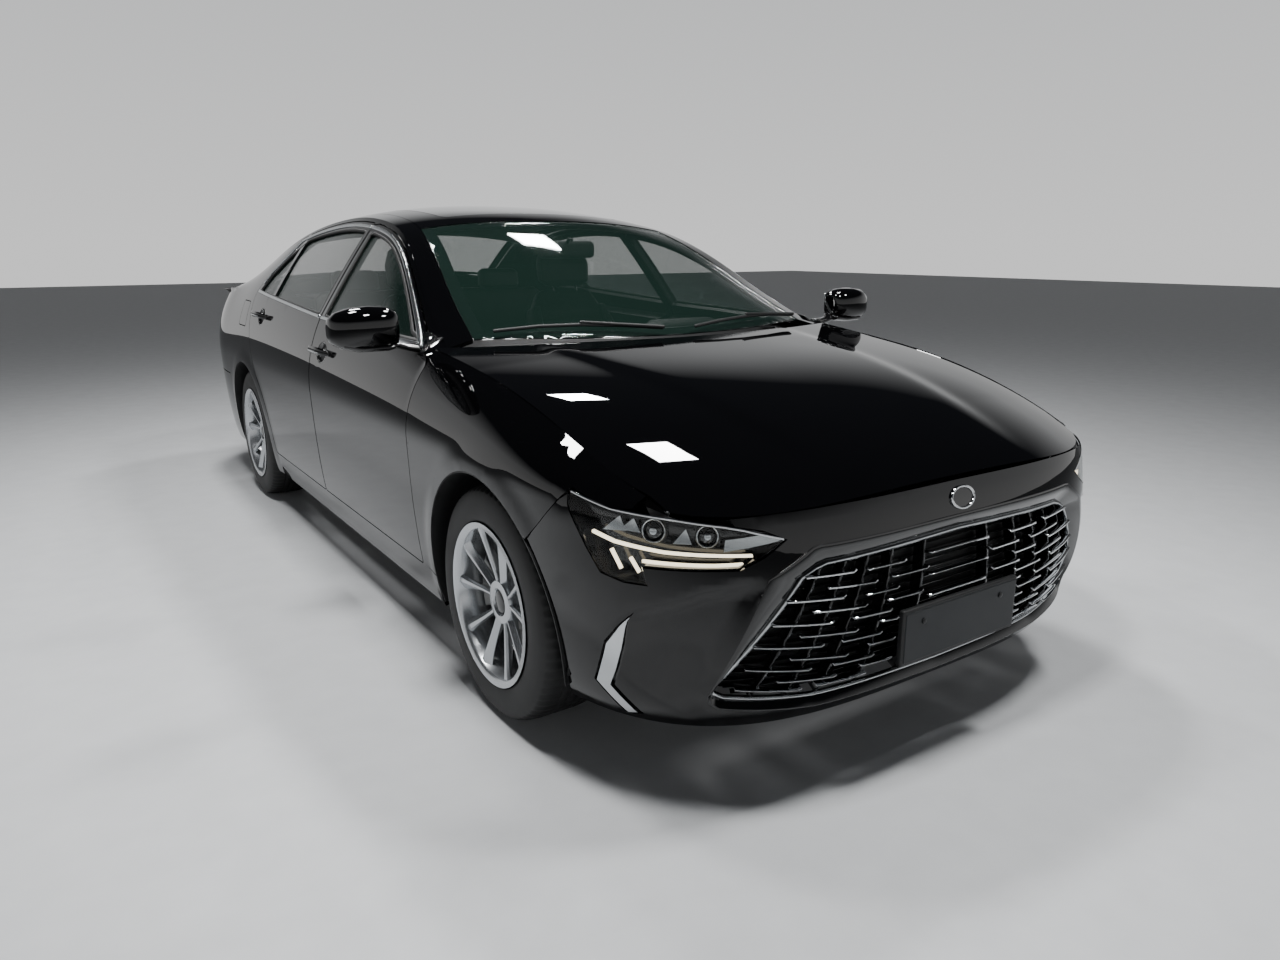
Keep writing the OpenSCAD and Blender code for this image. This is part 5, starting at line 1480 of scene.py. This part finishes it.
@dataclass
class Cabin:
    """Seats, steering wheel and dashboard details."""

    seat_x: float = 370.0

    def build(self) -> None:
        """Builds the cabin."""
        for hand in Hand:
            self.seat(hand)
        self.bench()
        self.wheel()
        self.dash()

    def pad(self, name: str, stations: Sequence[tuple], axis: int, tilt: float = 0,
            about: tuple = (0, 0, 0),
            channels: int = 0) -> bpy.types.Object:
        """A stitched leather pad.

        Args:
            name: name of the piece.
            stations: rings of pad_rings.
            axis: direction of its rings.
            tilt: lean backwards in degrees.
            about: point it leans about.
            channels: number of stitched channels across it.

        Returns:
            The finished pad.
        """
        stations = np.array(stations, float)
        fine = np.linspace(stations[0, 0], stations[-1, 0], 34)
        rows = [[t] + [float(np.interp(t, stations[:, 0], stations[:, i])) for i in range(1,
                                                                                          5)] for t in fine]
        if channels:
            for row in rows[3:-3]:
                share = (row[0] - fine[0]) / (fine[-1] - fine[0]) * channels
                dip = 6 * math.exp(-((share % 1 - 0.5) / 0.09) ** 2)
                row[3] -= dip * (axis == 0)
                row[4] -= dip
        rings = pad_rings(rows, axis, 4.0, 32)
        a = math.radians(tilt)
        at = rings - about
        rings = np.stack([at[..., 0], at[..., 1] * math.cos(a) + at[..., 2] * math.sin(a),
                          at[..., 2] * math.cos(a) - at[..., 1] * math.sin(a)], -1) + about
        obj = grid_object(name, rings, (False, True), True, 5, 50)
        dress(obj, LEATHER, "car_body", "leather")
        return obj

    def seat(self, hand: Hand) -> None:
        """A front seat with bolsters, channels and headrest."""
        x, side = hand.value * self.seat_x, hand.name.lower()
        cushion = self.pad(f"seat_cushion_{side}", ((-470, x, 470, 175, 45), (-440, x, 476, 200, 60),
                           (-200, x, 470, 205, 66), (60, x, 452, 200, 66), (110, x, 450, 190, 50)), 1,
                           channels=5)
        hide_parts(*(["front_seats"] if hand is Hand.LEFT else []))
        self.pad(f"seat_back_{side}", ((520, x, 80, 190, 46), (560, x, 84, 205, 62), (800, x, 84, 205, 60),
                 (1000, x, 84, 190, 50), (1080, x, 84, 150, 40), (1100, x, 84, 120, 26)), 2, 20,
                 (x, 80, 520), 6)
        self.pad(f"headrest_{side}", ((1085, x, 262, 96, 30), (1110, x, 266, 128, 48),
                                      (1190, x, 276, 132, 50),
                 (1250, x, 286, 112, 38), (1266, x, 288, 90, 24)), 2)
        for s in (-1, 1):
            self.pad(f"seat_bolster_{side}_{'a' if s < 0 else 'b'}", ((560, x + s * 205, 70, 26, 60),
                     (700, x + s * 208, 66, 34, 78), (900, x + s * 200, 70, 30, 66),
                     (1010, x + s * 180, 76, 20, 44)), 2, 20,
                     (x, 80, 520))
            self.pad(f"cushion_bolster_{side}_{'a' if s < 0 else 'b'}", ((-430, x + s * 205, 478, 24, 56),
                     (-200, x + s * 210, 486, 34, 66), (40, x + s * 208, 482, 32, 60),
                     (90, x + s * 200, 474, 20, 44)), 1)
            post = tube(f"headrest_post_{side}_{'a' if s < 0 else 'b'}",
                        [(x + s * 60, 236, 1030), (x + s * 60, 262, 1100)], 6)
            dress(post, CHROME, "car_body", "steel")
        base = block(f"seat_base_{side}", (x - 210, -440, 225), (x + 210, 120, 420), 20)
        dress(base, TRIM, "car_body", "black_plastic")
        shell = block(f"seat_rail_{side}", (x - 230, -430, 300), (x + 230, 140, 430), 24)
        dress(shell, BLACK_GRAIN, "car_body", "black_plastic")

    def bench(self) -> None:
        """The rear bench."""
        cushion = self.pad("rear_cushion",
                           ((-625, 800, 440, 190, 50), (-600, 800, 446, 215, 66), (0, 800, 440, 220, 66),
                           (600, 800, 446, 215, 66), (625, 800, 440, 190, 50)), 0, channels=6)
        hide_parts("rear_seat")
        self.pad("rear_back", ((-625, 1000, 760, 30, 260), (-600, 1000, 760, 48, 290),
                                      (0, 1000, 760, 52, 295),
                        (600, 1000, 760, 48, 290), (625, 1000, 760, 30, 260)), 0, 0, (0, 980, 480), 6)
        for i, x in enumerate((-400, 0, 400)):
            self.pad(f"rear_headrest_{i}",
                     ((1040, x, 1050, 90, 26), (1060, x, 1054, 118, 38), (1130, x, 1060, 116, 38),
                     (1150, x, 1062, 90, 24)), 2)

    def wheel(self) -> None:
        """Steering wheel on its tilted axis."""
        centre, axis = np.array([370.0, -542.0, 805.0]), np.array([0, 0.913545, 0.406737])
        up = np.array([0, -0.406737, 0.913545])
        turn = np.linspace(0, 2 * math.pi, 20, endpoint=False)
        ring = turned("steering_rim", [(169 + 15 * math.cos(t), 17 * math.sin(t)) for t in turn], centre,
                      axis, 80)
        dress(ring, LEATHER, "steering", "leather", "steering_wheel")
        hub = turned("steering_hub", [(0, -60), (46, -60), (62, -16), (64, 2), (48, 10), (0, 12)], centre,
                     axis, 40, 5)
        dress(hub, TRIM, "steering", "black_plastic")
        for i, a in enumerate((-8, 188, 270)):
            way = np.array([1.0, 0, 0]) * math.cos(math.radians(a)) + up * math.sin(math.radians(a))
            bar = tube(f"steering_spoke_{i}",
                       [centre + way * r - axis * (8 - r * 0.04) for r in (40, 80, 120, 166)], 13)
            dress(bar, SATIN, "steering", "black_plastic")

    def dash(self) -> None:
        """Instrument hood, screen, vents and inner mirror."""
        hood = pad_rings([(190, -700, 948, 30, 22), (240, -700, 956, 60, 34), (500, -700, 956, 60, 34),
                          (550, -700, 948, 30, 22)], 0, 2.6, 24)
        dress(grid_object("instrument_hood", hood, (False, True), True, 3, 50), TRIM, "car_body",
              "black_plastic")
        screen = block("centre_screen", (-150, -662, 830), (150, -640, 940), 4)
        dress(screen, BLACK_GLOSS, "car_body", "black_plastic")
        for s in (-1, 1):
            vent = block(f"side_vent_{'a' if s < 0 else 'b'}", (s * 570, -652, 850), (s * 660, -640, 900),
                         4)
            dress(vent, SATIN, "car_body", "black_plastic")
        mirror = grid_object("inner_mirror",
                             pad_rings([(-125, -420, 1258, 8, 24), (-110, -420, 1260, 14, 34),
                             (110, -420, 1260, 14, 34), (125, -420, 1258, 8, 24)], 0, 3, 20), (False, True),
                             True, 2, 50)
        dress(mirror, BLACK_GRAIN, "car_body", "black_plastic")
        stem = tube("inner_mirror_stem", [(0, -420, 1278), (0, -440, 1300), (0, -462, 1296)], 7)
        dress(stem, BLACK_GRAIN, "car_body", "black_plastic")


# ------------------------------------------------------------------ parts kept from the CAD frame


KEPT = {"cowl_panel": BLACK_GRAIN, "wipers": BLACK_GRAIN, "dashboard": TRIM, "engine_block": IRON,
        "exhaust": SATIN, "floor_pan": STEEL, "subframes": STEEL,
        "knuckle_left": IRON, "knuckle_right": IRON}


def redress(finishes: dict) -> None:
    """Gives the CAD nodes that stay in view their finishes."""
    for node, finish in finishes.items():
        for slot in bpy.data.objects[node].material_slots:
            slot.material = finish.material()


# ------------------------------------------------------------------ studio


@dataclass
class Studio:
    """Pale floor, soft lights and camera."""

    eye: tuple = (-1.8656, -3.6904, 1.2828)
    yaw: float = 0.5965
    pitch: float = -0.2542
    focal_px: float = 910.0
    boxes: tuple = ((-1.0, -2.2, 3.4), (0.9, -2.6, 3.4), (-1.4, -0.2, 3.6), (0.8, -0.4, 3.6),
                    (-0.6, 1.8, 3.6), (1.4, 1.8, 3.6))

    def build(self) -> None:
        """Builds the floor, the camera, the world and the lights."""
        bpy.ops.mesh.primitive_plane_add(size=60, location=(0, 0, 0))
        floor = bpy.context.active_object
        floor.name = floor.data.name = "studio_floor"
        floor.data.materials.append(Finish("pale_floor", "d4d6d8", roughness=0.55).material())
        cam = bpy.data.cameras.new("camera")
        cam.sensor_width, cam.lens = 36, self.focal_px / 1280 * 36
        view = bpy.data.objects.new("camera", cam)
        bpy.context.scene.collection.objects.link(view)
        view.location = self.eye
        way = Vector((math.sin(self.yaw) * math.cos(self.pitch), math.cos(self.yaw) * math.cos(self.pitch),
                      math.sin(self.pitch)))
        view.rotation_euler = way.to_track_quat("-Z", "Y").to_euler()
        bpy.context.scene.camera = view
        world = bpy.data.worlds.new("studio")
        bpy.context.scene.world = world
        world.use_nodes = True
        tree = world.node_tree
        tree.nodes.clear()
        place = add_node(tree, "ShaderNodeTexCoord")
        split = add_node(tree, "ShaderNodeSeparateXYZ", links={"Vector": place.outputs["Generated"]})
        ramp = add_node(tree, "ShaderNodeValToRGB", links={"Fac": split.outputs["Z"]})
        stops = ramp.color_ramp.elements
        stops[0].position, stops[0].color = 0.0, (1, 1, 1, 1)
        stops[1].position, stops[1].color = 0.42, (0.02, 0.022, 0.026, 1)
        mid = stops.new(0.24)
        mid.color = (0.8, 0.81, 0.82, 1)
        back = add_node(tree, "ShaderNodeBackground", {"Strength": 0.85}, {"Color": ramp.outputs["Color"]})
        out = add_node(tree, "ShaderNodeOutputWorld")
        tree.links.new(back.outputs[0], out.inputs["Surface"])
        for i, at in enumerate(self.boxes):
            light = bpy.data.lights.new(f"softbox_{i}", "AREA")
            light.shape, light.size, light.energy = "SQUARE", 0.42, 75
            lamp = bpy.data.objects.new(f"softbox_{i}", light)
            bpy.context.scene.collection.objects.link(lamp)
            lamp.location = at


def main() -> None:
    """Builds the car in order."""
    logging.basicConfig(level=logging.INFO, format="%(message)s")
    for part in (Doors(), Shell(), Front(), Wheels(), Cabin()):
        part.build()
        LOG.info("%s done", type(part).__name__)
    redress(KEPT)
    Studio().build()


if __name__ == "__main__":
    main()
